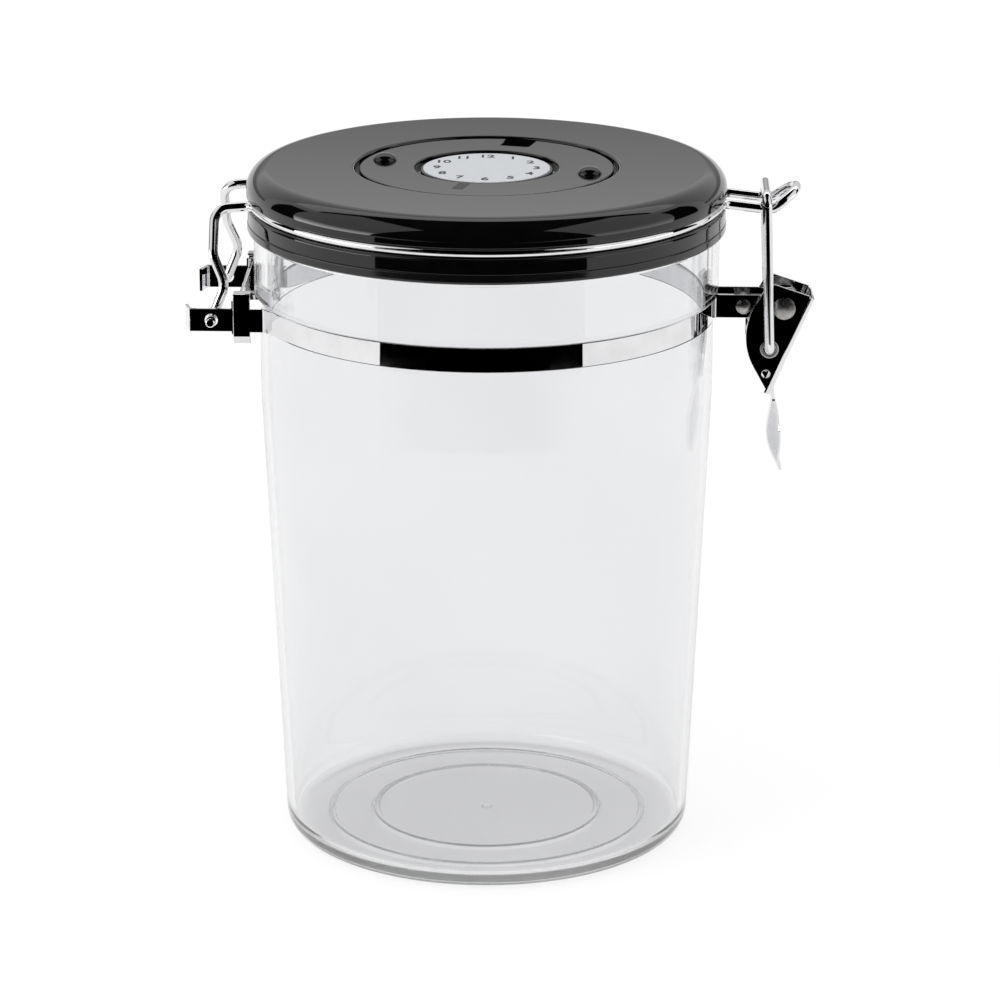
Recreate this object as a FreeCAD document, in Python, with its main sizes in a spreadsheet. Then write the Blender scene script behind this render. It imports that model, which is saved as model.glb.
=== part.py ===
import FreeCAD, Part

import math
import os

import Sketcher

# A clear canister with a clamp lid. Units are millimetres.
# The origin is where the jar's axis meets the table: +Z is up, the hinge is at -X and the latch at +X.

Vector = FreeCAD.Vector
SHEET = "Sizes"

# Driving dimensions, one group for each assembly. Every other size is worked out from them in work_out().
DIMENSIONS = {
    "jar": {
        "base_radius": 54.5,
        "body_radius": 60.0,
        "rim_height": 166.2,
        "jar_wall": 2.0,
        "taper_drop": 44.2,
        "collar_height": 16.8,
        "collar_step": 1.4,
        "floor_top": 3.2,
        "foot_width": 11.0,
        "foot_recess": 0.8,
        "step_width": 11.5,
        "step_rise": 0.5,
        "gate_radius": 1.3,
        "gate_drop": 0.6,
        "base_corner": 4.5,
        "floor_corner": 3.0,
        "rim_round": 0.7,
    },
    "clamp band": {
        "band_height": 6.2,
        "band_sheet": 0.6,
        "band_drop": 0.3,
        "band_fit": 0.1,
        "ear_half_gap": 4.0,
        "ear_bend": 1.6,
        "ear_overhang": 3.4,
        "ear_chamfer": 1.3,
        "crimp_width": 4.5,
        "crimp_neck": 2.8,
        "crimp_step": 2.57,
        "crimp_rise": 7.1,
        "crimp_fall": 6.5,
        "crimp_fold": 3.4,
        "crimp_slant": 2.0,
        "neck_round": 1.4,
    },
    "hinge bracket": {
        "bracket_sheet": 0.8,
        "bracket_half_width": 23.2,
        "bracket_bend": 1.4,
        "bracket_rise": 5.0,
        "bracket_fall": 3.8,
        "web_gap": 2.2,
        "root_lap": 0.2,
        "hinge_ear_height": 6.1,
        "stop_reach": 5.7,
        "stop_slant": 1.5,
        "stop_inset": 4.9,
        "pin_play": 0.35,
    },
    "bail": {
        "wire_diameter": 2.6,
        "hinge_reach": 9.5,
        "pin_stand": 3.2,
        "pin_bend": 1.8,
        "knee_inset": 3.6,
        "knee_rise": 8.8,
        "knee_gather": 2.9,
        "shin_inset": 0.4,
        "shin_rise": 16.4,
        "shin_gather": 4.0,
        "leg_sag": 0.85,
        "leg_gather": 9.7,
        "leg_bend": 4.0,
        "knee_bend": 6.0,
        "groove_play": 0.2,
        "groove_bend": 3.2,
        "hinge_tangent": 18.0,
        "hook_tangent": 11.0,
        "hook_margin": 0.4,
        "crook_inset": 3.6,
        "crook_sag": 1.55,
        "hook_slope": 37.0,
        "hook_overhang": 2.7,
    },
    "lid": {
        "seal_thickness": 4.0,
        "seal_overhang": 1.6,
        "seal_fit": 0.2,
        "seal_round": 0.8,
        "flange_inset": 0.2,
        "flange_height": 2.7,
        "flange_round": 0.9,
        "groove_fit": 0.1,
        "groove_headroom": 0.4,
        "neck_wall": 2.6,
        "cap_overhang": 0.4,
        "cap_height": 6.7,
        "cap_wall": 2.4,
        "cap_skirt": 1.5,
        "lip_drop": 0.4,
        "lip_width": 0.8,
        "plate_step": 0.2,
        "plate_thickness": 2.4,
        "plug_gap": 5.0,
        "plug_wall": 2.4,
        "plug_depth": 7.0,
    },
    "date dial": {
        "recess_radius": 34.6,
        "recess_depth": 3.0,
        "recess_sheet": 1.8,
        "hub_radius": 17.4,
        "hub_sink": 0.9,
        "hub_stem": 5.0,
        "hub_tail": 4.2,
        "hub_fit": 0.1,
        "hub_gap": 1.6,
        "boss_inset": 1.8,
        "boss_height": 1.3,
        "ring_gap": 1.2,
        "ring_sink": 0.45,
        "ring_play": 0.3,
        "ring_lip": 0.7,
        "ring_round": 0.5,
        "ring_turn": -14.5,
        "knob_share": 0.22,
        "knob_margin": 2.23,
        "knob_rise": 1.9,
        "knob_round_share": 0.85,
        "window_width_share": 0.54,
        "window_margin": 1.4,
        "window_share": 0.59,
        "tick_margin": 0.8,
        "tick_share": 0.68,
        "tick_width": 1.8,
        "tick_depth": 0.5,
        "face_inset": 0.7,
        "face_thickness": 0.6,
        "face_stand": 0.2,
        "retainer_margin": 4.0,
        "retainer_sheet": 1.2,
        "vent_radius": 1.2,
        "vent_count": 4,
    },
    "gas valve": {
        "valve_bore": 13.0,
        "valve_fit": 0.2,
        "seat_floor": 1.8,
        "seat_lap": 2.0,
        "seat_rim_height": 1.4,
        "seat_hole_radius": 1.2,
        "seat_hole_share": 0.6,
        "seat_hole_count": 6,
        "flap_inset": 3.8,
        "flap_edge": 0.6,
        "flap_rise": 1.2,
        "flap_stem": 1.5,
        "flap_bulb_step": 0.6,
        "flap_bulb_height": 1.0,
        "cover_lap": 3.4,
        "cover_wall": 1.3,
        "cover_depth": 5.2,
        "cover_floor": 1.2,
        "cover_slot_count": 8,
        "cover_slot_near": 4.0,
        "cover_slot_margin": 4.4,
        "cover_slot_width": 2.2,
        "filter_thickness": 1.6,
    },
    "latch": {
        "pivot_reach": 17.1,
        "pivot_shank": 1.6,
        "pivot_head_step": 1.35,
        "head_rise": 0.8,
        "pivot_play": 0.1,
        "spacer_inset": 10.7,
        "spacer_shank": 1.2,
        "spacer_head_step": 0.8,
        "sleeve_wall": 1.0,
        "lever_gap": 0.8,
        "lever_sheet": 0.8,
        "cheek_top_inset": 4.1,
        "cheek_top_rise": 6.9,
        "cheek_top_round": 2.6,
        "cheek_side_inset": 11.5,
        "cheek_side_drop": 7.8,
        "cheek_side_round": 8.0,
        "spine_reach": 8.2,
        "spine_rise": 2.8,
        "spine_end_inset": 3.4,
        "spine_drop": 24.2,
        "spine_round": 0.9,
        "sight_hole_radius": 1.1,
        "sight_hole_inset": 4.5,
        "sight_hole_drop": 18.0,
        "tab_length": 21.7,
        "tab_slant": 3.8,
        "tab_neck": 3.6,
        "tab_half_width": 7.0,
        "tab_tip_half": 1.5,
        "tab_edge_radius": 26.0,
        "tab_cup": 8.2,
        "tab_overlap": 1.5,
        "hole_rim_width": 1.2,
        "hole_rim_rise": 0.35,
        "link_hole_inset": 3.7,
        "link_hole_drop": 11.1,
        "link_play": 0.3,
        "link_foot_gap": 0.3,
        "link_foot_bend": 2.0,
        "link_pin_inset": 0.5,
        "link_bar_inset": 5.2,
        "link_bar_lift": 1.5,
        "link_bar_gap": 0.7,
        "link_bar_bend": 2.6,
    },
}


class Size:
    """A dimension that carries both its number and the sheet formula that gives it."""

    def __init__(self, value, text):
        self.value = value
        self.text = text

    def _join(self, other, sign, value):
        return Size(value, f"({self.text} {sign} {sized(other).text})")

    def __add__(self, other):
        return self._join(other, "+", self.value + sized(other).value)

    def __sub__(self, other):
        return self._join(other, "-", self.value - sized(other).value)

    def __mul__(self, other):
        return self._join(other, "*", self.value * sized(other).value)

    def __truediv__(self, other):
        return self._join(other, "/", self.value / sized(other).value)

    def __neg__(self):
        return Size(-self.value, f"(0 - {self.text})")


def sized(number):
    """A plain number as a Size, and a Size as itself."""
    return number if isinstance(number, Size) else Size(float(number), repr(float(number)))


def root(size):
    """The square root of a Size."""
    return Size(math.sqrt(size.value), f"sqrt({size.text})")


class Sizes:
    """Every driving dimension as an attribute, read from the sheet's cells."""


def make_sheet(doc):
    """Writes the driving dimensions into the document's sheet and returns them as Sizes."""
    sheet = doc.addObject("Spreadsheet::Sheet", SHEET)
    row = 0
    for group, entries in DIMENSIONS.items():
        row += 1
        sheet.set(f"A{row}", group)
        for alias, number in entries.items():
            row += 1
            sheet.set(f"A{row}", alias.replace("_", " "))
            sheet.set(f"B{row}", str(number))
            sheet.setAlias(f"B{row}", alias)
    doc.recompute()
    sizes = Sizes()
    for entries in DIMENSIONS.values():
        for alias in entries:
            setattr(sizes, alias, Size(float(sheet.get(alias)), f"{SHEET}.{alias}"))
    return sizes


def work_out(s):
    """Adds the sizes that follow from the driving ones: the lid stands on the rim, the latch on the collar."""
    # Jar
    s.collar_radius = s.body_radius + s.collar_step
    s.ledge_height = s.rim_height - s.collar_height
    s.taper_top = s.rim_height - s.taper_drop
    s.foot_radius = s.base_radius - s.foot_width
    s.step_radius = s.foot_radius - s.step_width
    s.band_middle = s.ledge_height - s.band_drop - s.band_height / 2

    # Hinge
    s.hinge_place = s.collar_radius + s.hinge_reach
    s.web_place = s.collar_radius + s.web_gap
    s.stop_corner = s.hinge_place + s.stop_reach
    s.stop_tip = s.stop_corner + s.stop_slant
    s.bracket_top = s.band_middle + s.bracket_rise
    s.bracket_low = s.band_middle - s.bracket_fall
    half = s.bracket_half_width
    s.crimp_bend = root(s.body_radius * s.body_radius - half * half) + s.crimp_step
    s.crimp_right = s.crimp_bend + s.crimp_neck
    s.crimp_left = s.crimp_right + s.crimp_width
    s.crimp_top = s.band_middle + s.crimp_rise
    s.crimp_low = s.band_middle - s.crimp_fall
    s.root_end = s.crimp_left - s.root_lap

    # Lid
    s.seal_radius = s.collar_radius + s.seal_overhang
    s.flange_radius = s.seal_radius - s.flange_inset
    s.neck_radius = s.flange_radius - s.wire_diameter - s.groove_fit
    s.cap_radius = s.flange_radius + s.cap_overhang
    s.plug_radius = s.body_radius - s.jar_wall - s.plug_gap
    s.flange_low = s.rim_height + s.seal_thickness
    s.flange_top = s.flange_low + s.flange_height
    s.groove_roof = s.flange_top + s.wire_diameter + s.groove_headroom
    s.cap_lip = s.groove_roof - s.lip_drop
    s.lid_top = s.groove_roof + s.cap_height
    s.cap_shoulder = s.cap_height + s.lip_drop - s.cap_skirt
    s.plate_top = s.flange_low + s.plate_step
    s.plate_low = s.plate_top - s.plate_thickness
    s.plug_low = s.flange_low - s.plug_depth

    # Bail
    s.wire_level = s.flange_top + s.wire_diameter / 2 + s.groove_play / 4
    s.knee_place = s.hinge_place - s.knee_inset
    s.knee_height = s.band_middle + s.knee_rise
    s.knee_spread = half - s.knee_gather
    s.shin_place = s.hinge_place - s.shin_inset
    s.shin_height = s.band_middle + s.shin_rise
    s.shin_spread = half - s.shin_gather
    s.leg_top_height = s.wire_level - s.leg_sag
    s.leg_spread = half - s.leg_gather

    # Date dial
    s.recess_floor = s.lid_top - s.recess_depth
    s.boss_radius = s.hub_radius - s.boss_inset
    s.boss_top = s.recess_floor + s.boss_height
    s.ring_outer = s.recess_radius - s.ring_gap
    s.ring_inner = s.hub_radius + s.hub_gap
    s.ring_top = s.lid_top - s.ring_sink
    ring_width = s.ring_outer - s.ring_inner
    s.knob_radius = ring_width * s.knob_share
    s.knob_place = s.ring_outer - s.knob_margin - s.knob_radius
    s.knob_top = s.ring_top + s.knob_rise
    s.window_width = ring_width * s.window_width_share
    s.window_far = s.ring_outer - s.window_margin
    s.window_near = s.window_far - ring_width * s.window_share
    s.tick_near = s.ring_inner + s.tick_margin
    s.tick_far = s.tick_near + ring_width * s.tick_share
    s.vent_place = s.knob_place - s.vent_radius
    s.hub_top = s.lid_top - s.hub_sink
    s.hub_end = s.recess_floor - s.hub_tail
    s.face_radius = s.hub_radius - s.face_inset
    s.retainer_radius = s.hub_stem + s.retainer_margin

    # Gas valve
    s.seat_rim = s.valve_bore + s.seat_lap
    s.flap_radius = s.valve_bore - s.flap_inset
    s.flap_bulb = s.flap_stem + s.flap_bulb_step
    s.seat_hole_place = s.flap_radius * s.seat_hole_share
    s.cover_radius = s.valve_bore + s.cover_lap
    s.cover_low = s.plate_low - s.cover_depth
    s.cover_slot_far = s.cover_radius - s.cover_slot_margin

    # Latch
    s.pivot_place = s.collar_radius + s.pivot_reach
    s.pivot_head = s.pivot_shank + s.pivot_head_step
    s.spacer_place = s.pivot_place - s.spacer_inset
    s.spacer_head = s.spacer_shank + s.spacer_head_step
    s.sleeve_radius = s.spacer_shank + s.sleeve_wall
    s.ear_reach = s.pivot_place + s.ear_overhang
    s.lever_half_width = s.ear_half_gap + s.band_sheet + s.lever_gap + s.lever_sheet
    s.cheek_top_place = s.pivot_place - s.cheek_top_inset
    s.cheek_top_height = s.band_middle + s.cheek_top_rise
    s.cheek_side_place = s.pivot_place - s.cheek_side_inset
    s.cheek_side_height = s.band_middle - s.cheek_side_drop
    s.spine_top_place = s.pivot_place + s.spine_reach
    s.spine_top_height = s.band_middle + s.spine_rise
    s.spine_end_place = s.pivot_place - s.spine_end_inset
    s.spine_end_height = s.band_middle - s.spine_drop
    s.sight_hole_place = s.pivot_place - s.sight_hole_inset
    s.sight_hole_height = s.band_middle - s.sight_hole_drop
    s.axis_place = (s.stop_tip - s.spine_top_place) / 2
    s.tab_tip_place = s.spine_end_place + s.tab_slant
    s.tab_tip_height = s.spine_end_height - s.tab_length
    s.hole_rim_radius = s.wire_diameter / 2 + s.hole_rim_width
    s.hook_spread = s.lever_half_width + s.hook_margin
    s.crook_place = s.pivot_place - s.crook_inset
    s.crook_height = s.wire_level - s.crook_sag
    s.hook_tip = s.pivot_place + s.hook_overhang
    s.link_hole_place = s.pivot_place - s.link_hole_inset
    s.link_hole_height = s.band_middle - s.link_hole_drop
    s.link_foot_spread = s.lever_half_width + s.pivot_play + s.head_rise + s.link_foot_gap + s.wire_diameter / 2
    s.link_bar_place = s.pivot_place - s.link_bar_inset
    s.link_bar_height = s.crook_height + s.wire_diameter + s.link_bar_lift
    s.link_bar_spread = s.hook_spread + s.wire_diameter + s.link_bar_gap


doc = FreeCAD.newDocument("canister")
s = make_sheet(doc)
work_out(s)
pieces = []
crosswise = {}


# Sketches, features and selections

def new_body(label):
    """A PartDesign body that is one sub-part."""
    body = doc.addObject("PartDesign::Body", label)
    body.Label = label
    pieces.append(body)
    return body


def new_sketch(body, role, offset=None):
    """A sketch on one of the body's origin planes, moved along the plane's normal by offset."""
    plane = [f for f in body.Origin.OriginFeatures if f.Role == role][0]
    sketch = body.newObject("Sketcher::SketchObject", "Sketch")
    sketch.AttachmentSupport = (plane, [""])
    sketch.MapMode = "FlatFace"
    if offset is not None:
        sketch.AttachmentOffset = FreeCAD.Placement(Vector(0, 0, offset.value), FreeCAD.Rotation())
        sketch.setExpression("AttachmentOffset.Base.z", offset.text)
    return sketch


def bind(sketch, kind, *where, size):
    """Adds a dimension to a sketch and ties it to the sheet."""
    number = sketch.addConstraint(Sketcher.Constraint(kind, *where, size.value))
    sketch.setExpression(f"Constraints[{number}]", size.text)


def pin_point(sketch, geometry, end, x, y):
    """Ties a point of a sketch to its two coordinates; a plain 0 puts it on the axis."""
    for kind, coordinate, axis in (("DistanceX", x, -2), ("DistanceY", y, -1)):
        if isinstance(coordinate, Size):
            bind(sketch, kind, -1, 1, geometry, end, size=coordinate)
        else:
            sketch.addConstraint(Sketcher.Constraint("PointOnObject", geometry, end, axis))


def polygon(sketch, points):
    """A closed outline of straight lines whose corners are tied to the sheet."""
    flat = [Vector(sized(x).value, sized(y).value, 0) for x, y in points]
    count = len(flat)
    lines = [
        sketch.addGeometry(Part.LineSegment(flat[i], flat[(i + 1) % count]), False)
        for i in range(count)
    ]
    for i in range(count):
        sketch.addConstraint(Sketcher.Constraint("Coincident", lines[i], 2, lines[(i + 1) % count], 1))
        pin_point(sketch, lines[i], 1, *points[i])


def circle(sketch, x, y, radius):
    """A circle tied to the sheet by its centre and radius."""
    centre = Vector(sized(x).value, sized(y).value, 0)
    geometry = sketch.addGeometry(Part.Circle(centre, Vector(0, 0, 1), radius.value), False)
    pin_point(sketch, geometry, 3, x, y)
    bind(sketch, "Radius", geometry, size=radius)


def turned(label, points):
    """A sub-part turned about the Z axis from its half section, given as radius and height."""
    body = new_body(label)
    sketch = new_sketch(body, "XZ_Plane")
    polygon(sketch, points)
    turn = body.newObject("PartDesign::Revolution", "Turn")
    turn.Profile = sketch
    turn.ReferenceAxis = (sketch, ["V_Axis"])
    turn.Angle = 360
    doc.recompute()
    return body


def pad(body, sketch, length, both_sides=False, backwards=False):
    """Extrudes a sketch of the body by a length."""
    feature = body.newObject("PartDesign::Pad", "Pad")
    feature.Profile = sketch
    feature.SideType = "Symmetric" if both_sides else "One side"
    feature.Reversed = backwards
    feature.Length = length.value
    feature.setExpression("Length", length.text)
    doc.recompute()
    return feature


def pocket(body, sketch, length=None, both_sides=False):
    """Cuts a sketch out of the body: to a depth, or right through both ways."""
    before = body.Shape.Volume
    feature = body.newObject("PartDesign::Pocket", "Pocket")
    feature.Profile = sketch
    if length is None:
        feature.SideType = "Symmetric"
        feature.Type = "ThroughAll"
    else:
        feature.SideType = "Symmetric" if both_sides else "One side"
        feature.Length = length.value
        feature.setExpression("Length", length.text)
    doc.recompute()
    if not body.Shape.Volume < before:
        raise ValueError(f"a cut in {body.Label} removes nothing")
    return feature


def repeat_round(body, feature, count):
    """Repeats a cut evenly about the Z axis."""
    pattern = body.newObject("PartDesign::PolarPattern", "Pattern")
    pattern.Originals = [feature]
    pattern.Axis = ([f for f in body.Origin.OriginFeatures if f.Role == "Z_Axis"][0], [""])
    pattern.Angle = 360
    pattern.Occurrences = int(count.value)
    pattern.setExpression("Occurrences", count.text)
    body.Tip = pattern
    doc.recompute()


def round_edges(body, radius, wanted):
    """Rounds the edges of the body that the test wanted picks."""
    base = body.Tip
    names = [f"Edge{i + 1}" for i, edge in enumerate(base.Shape.Edges) if wanted(edge)]
    if not names:
        raise ValueError(f"no edge to round on {body.Label}")
    feature = body.newObject("PartDesign::Fillet", "Fillet")
    feature.Base = (base, names)
    feature.Radius = radius.value
    feature.setExpression("Radius", radius.text)
    doc.recompute()


def near(a, b):
    return abs(a - b) < 1e-4


def rings(*corners):
    """A test for the circular edges about the Z axis at the given radii and heights."""
    def wanted(edge):
        if edge.Curve.TypeId != "Part::GeomCircle":
            return False
        radius, height = edge.Curve.Radius, edge.Curve.Center.z
        return any(near(radius, sized(r).value) and near(height, sized(z).value) for r, z in corners)
    return wanted


def cross_edges(*corners):
    """A test for the straight edges along Y that pass through the given X and Z."""
    def wanted(edge):
        if edge.Curve.TypeId != "Part::GeomLine" or not near(abs(edge.Curve.Direction.y), 1):
            return False
        place = edge.Vertexes[0].Point
        return any(near(place.x, sized(x).value) and near(place.z, sized(z).value) for x, z in corners)
    return wanted


def upright_edges(*corners):
    """A test for the straight edges along Z that pass through the given X and Y."""
    def wanted(edge):
        if edge.Curve.TypeId != "Part::GeomLine" or not near(abs(edge.Curve.Direction.z), 1):
            return False
        place = edge.Vertexes[0].Point
        return any(near(place.x, sized(x).value) and near(place.y, sized(y).value) for x, y in corners)
    return wanted


# Bent wire

def bent_edges(points, bends):
    """Straight runs through the points, joined by tangent arcs of the given radii at the inner ones."""
    edges = []
    start = points[0]
    for i, bend in enumerate(bends, 1):
        corner = points[i]
        back = (points[i - 1] - corner).normalize()
        ahead = (points[i + 1] - corner).normalize()
        half = back.getAngle(ahead) / 2
        reach = bend / math.tan(half)
        middle = (back + ahead).normalize() * (bend / math.sin(half) - bend)
        first, last = corner + back * reach, corner + ahead * reach
        edges.append(Part.LineSegment(start, first).toShape())
        edges.append(Part.Arc(first, corner + middle, last).toShape())
        start = last
    edges.append(Part.LineSegment(start, points[-1]).toShape())
    return edges


def wire_piece(label, edges, heading):
    """A bent wire, the same on both sides of the XZ plane: its front half is swept, mirrored and joined."""
    path = Part.Wire(edges)
    radius = s.wire_diameter.value / 2
    first = edges[0].Vertexes[0].Point
    section = Part.Wire([Part.Circle(first, heading, radius).toShape()])
    half = doc.addObject("Part::Feature", label + "_half")
    half.Shape = path.makePipeShell([section], True, False)
    other = doc.addObject("Part::Mirroring", label + "_other_half")
    other.Source = half
    other.Normal = Vector(0, 1, 0)
    whole = doc.addObject("Part::MultiFuse", label)
    whole.Label = label
    whole.Shapes = [half, other]
    doc.recompute()
    expected = 2 * math.pi * radius ** 2 * path.Length
    if abs(whole.Shape.Volume / expected - 1) > 0.01:
        raise ValueError(f"{label} has {whole.Shape.Volume:.1f} mm3, not {expected:.1f}")
    pieces.append(whole)
    return whole


# The jar

def make_jar():
    """Tapered clear jar: stepped foot, straight top with a seat for the band, and a wider collar."""
    seat_radius = s.body_radius - s.band_sheet
    seat_low = s.band_middle - s.band_height / 2 - s.band_fit
    inside = s.body_radius - s.jar_wall
    step = s.foot_recess + s.step_rise
    body = turned("jar", [
        (0, step - s.gate_drop),
        (s.gate_radius, step - s.gate_drop),
        (s.gate_radius, step),
        (s.step_radius, step),
        (s.step_radius, s.foot_recess),
        (s.foot_radius, s.foot_recess),
        (s.foot_radius, 0),
        (s.base_radius, 0),
        (s.body_radius, s.taper_top),
        (s.body_radius, seat_low),
        (seat_radius, seat_low),
        (seat_radius, s.ledge_height),
        (s.collar_radius, s.ledge_height),
        (s.collar_radius, s.rim_height),
        (inside, s.rim_height),
        (inside, s.taper_top),
        (s.base_radius - s.jar_wall, s.floor_top),
        (0, s.floor_top),
    ])
    round_edges(body, s.base_corner, rings((s.base_radius, 0)))
    round_edges(body, s.floor_corner, rings((s.base_radius - s.jar_wall, s.floor_top)))
    round_edges(body, s.rim_round, rings((s.collar_radius, s.rim_height), (inside, s.rim_height),
                                         (s.collar_radius, s.ledge_height)))


# The clamp band and the hinge bracket

def make_band():
    """Front half band: crimp plate at the hinge, strip round the jar, and an ear at the latch."""
    body = new_body("band_front")
    ring = s.body_radius - s.band_sheet / 2 + s.band_fit
    ear_line = s.ear_half_gap + s.band_sheet / 2
    crimp_line = s.bracket_half_width + s.band_fit + s.band_sheet / 2

    # Centre line in plan: crimp run, bend, tangent run, arc about the jar, bend, ear run.
    r, bend = ring.value, s.ear_bend.value
    bend_start = -s.crimp_bend.value
    low = -crimp_line.value
    first_centre = Vector(bend_start, low - bend, 0)
    reach = first_centre.Length
    turn = math.atan2(first_centre.x, first_centre.y) + math.acos(-(r + bend) / reach)
    side = Vector(math.sin(turn), math.cos(turn), 0)
    second_centre = Vector(math.sqrt((r + bend) ** 2 - (ear_line.value + bend) ** 2), -ear_line.value - bend, 0)
    to_second = second_centre * (1 / (r + bend))
    half_turn = Vector(math.sin(turn / 2), math.cos(turn / 2), 0)
    half_second = (Vector(0, 1, 0) - to_second).normalize()
    left_contact, right_contact = side * -r, to_second * r
    start_angle = math.atan2(left_contact.y, left_contact.x)
    end_angle = math.atan2(right_contact.y, right_contact.x)
    middle_angle = (start_angle + end_angle) / 2
    middle = Vector(math.cos(middle_angle), math.sin(middle_angle), 0) * r
    run_start = Vector(-s.crimp_left.value, low, 0)
    bend_first = Vector(bend_start, low, 0)
    bend_last = first_centre + side * bend
    ear_first = Vector(second_centre.x, -ear_line.value, 0)
    ear_end = Vector(s.ear_reach.value, -ear_line.value, 0)

    path = new_sketch(body, "XY_Plane", s.band_middle)
    run, bend_one, free, around, bend_two, ear = [path.addGeometry(curve, False) for curve in (
        Part.LineSegment(run_start, bend_first),
        Part.Arc(bend_first, first_centre + half_turn * bend, bend_last),
        Part.LineSegment(bend_last, left_contact),
        Part.Arc(left_contact, middle, right_contact),
        Part.Arc(right_contact, second_centre + half_second * bend, ear_first),
        Part.LineSegment(ear_first, ear_end),
    )]
    tie = Sketcher.Constraint
    # An arc that was drawn clockwise is kept with its ends the other way round.
    for one, one_end, other, other_end in (
        (run, 2, bend_one, 2), (bend_one, 1, free, 1), (free, 2, around, 1),
        (around, 2, bend_two, 2), (bend_two, 1, ear, 1),
    ):
        path.addConstraint(tie("Tangent", one, one_end, other, other_end))
    path.addConstraint(tie("Coincident", around, 3, -1, 1))
    path.addConstraint(tie("Horizontal", run))
    path.addConstraint(tie("Horizontal", ear))
    bind(path, "Radius", around, size=ring)
    bind(path, "Radius", bend_one, size=s.ear_bend)
    bind(path, "Radius", bend_two, size=s.ear_bend)
    pin_point(path, run, 1, -s.crimp_left, -crimp_line)
    bind(path, "DistanceX", -1, 1, run, 2, size=-s.crimp_bend)
    pin_point(path, ear, 2, s.ear_reach, -ear_line)

    section = new_sketch(body, "YZ_Plane", -s.crimp_left)
    half_sheet, half_height = s.band_sheet / 2, s.band_height / 2
    polygon(section, [
        (-crimp_line - half_sheet, s.band_middle - half_height),
        (-crimp_line + half_sheet, s.band_middle - half_height),
        (-crimp_line + half_sheet, s.band_middle + half_height),
        (-crimp_line - half_sheet, s.band_middle + half_height),
    ])
    strip = body.newObject("PartDesign::AdditivePipe", "Strip")
    strip.Profile = section
    strip.Spine = (path, [])
    doc.recompute()

    # The crimp plate's section: a flat face with its top folded back level and its foot slanting back.
    face, back = -crimp_line - half_sheet, -crimp_line + half_sheet
    crimp = new_sketch(body, "YZ_Plane", -s.crimp_left)
    fold_end = back + s.crimp_fold
    slant = s.crimp_slant
    polygon(crimp, [
        (back, s.crimp_top - s.band_sheet),
        (fold_end, s.crimp_top - s.band_sheet),
        (fold_end, s.crimp_top),
        (face, s.crimp_top),
        (face, s.crimp_low + slant),
        (face + slant, s.crimp_low),
        (face + slant + s.band_sheet, s.crimp_low + s.band_sheet / 2),
        (back, s.crimp_low + slant + s.band_sheet / 2),
    ])
    pad(body, crimp, s.crimp_left - s.crimp_right)
    round_edges(body, s.neck_round, cross_edges(
        (-s.crimp_right, s.band_middle + half_height), (-s.crimp_right, s.band_middle - half_height)))

    pivot = new_sketch(body, "XZ_Plane")
    circle(pivot, s.pivot_place, s.band_middle, s.pivot_shank + s.band_fit)
    circle(pivot, s.spacer_place, s.band_middle, s.spacer_shank + s.band_fit)
    pocket(body, pivot)
    corners = body.newObject("PartDesign::Chamfer", "EarCorners")
    base = body.Tip if body.Tip is not corners else corners.BaseFeature
    wanted = cross_edges((s.ear_reach, s.band_middle + half_height), (s.ear_reach, s.band_middle - half_height))
    corners.Base = (base, [f"Edge{i + 1}" for i, edge in enumerate(base.Shape.Edges) if wanted(edge)])
    corners.Size = s.ear_chamfer.value
    corners.setExpression("Size", s.ear_chamfer.text)
    doc.recompute()

    other = doc.addObject("Part::Mirroring", "band_rear")
    other.Label = "band_rear"
    other.Source = body
    other.Normal = Vector(0, 1, 0)
    pieces.append(other)


def make_bracket():
    """Hinge bracket: a U of sheet with a web beside the jar and two ears whose ends turn in as lid stops."""
    body = new_body("hinge_bracket")
    sheet, half = s.bracket_sheet, s.bracket_half_width
    inner = half - sheet
    height = s.bracket_top - s.bracket_low
    channel = new_sketch(body, "XY_Plane", s.bracket_low)
    polygon(channel, [
        (-s.stop_corner, -half), (-s.web_place, -half), (-s.web_place, half), (-s.stop_corner, half),
        (-s.stop_corner, inner), (-s.web_place - sheet, inner),
        (-s.web_place - sheet, -inner), (-s.stop_corner, -inner),
    ])
    pad(body, channel, height)
    web_back = -s.web_place - sheet
    round_edges(body, s.bracket_bend, upright_edges((web_back, inner), (web_back, -inner)))
    round_edges(body, s.bracket_bend + sheet, upright_edges((-s.web_place, half), (-s.web_place, -half)))
    tip = half - s.stop_inset
    for side in (1, -1):
        stop = new_sketch(body, "XY_Plane", s.bracket_low)
        polygon(stop, [
            (-s.stop_corner, half * side),
            (-s.stop_tip, tip * side),
            (-s.stop_tip + sheet, tip * side),
            (-s.stop_corner + sheet, half * side),
        ])
        pad(body, stop, height)
    round_edges(body, s.bracket_bend, upright_edges((-s.stop_corner, half), (-s.stop_corner, -half)))

    # Above and below the ears only the root beside the crimp plates keeps the full height.
    waste = new_sketch(body, "XZ_Plane")
    ear_top = s.band_middle + s.hinge_ear_height / 2
    ear_low = s.band_middle - s.hinge_ear_height / 2
    beyond = s.bracket_bend
    for near_edge, far_edge in ((ear_top, s.bracket_top + beyond), (ear_low, s.bracket_low - beyond)):
        polygon(waste, [
            (-s.root_end, near_edge), (-s.root_end, far_edge),
            (-s.stop_tip - beyond, far_edge), (-s.stop_tip - beyond, near_edge),
        ])
    pocket(body, waste)
    pins = new_sketch(body, "XZ_Plane")
    circle(pins, -s.hinge_place, s.band_middle, s.wire_diameter / 2 + s.pin_play)
    pocket(body, pins)


# Rivets and sleeves across the latch

def across(body, place):
    """Lays a turned piece along Y at the band's height."""
    body.Placement = FreeCAD.Placement(
        Vector(place.value, 0, s.band_middle.value), FreeCAD.Rotation(Vector(1, 0, 0), 90))
    body.setExpression("Placement.Base.z", s.band_middle.text)
    crosswise[body.Label] = place


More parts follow.
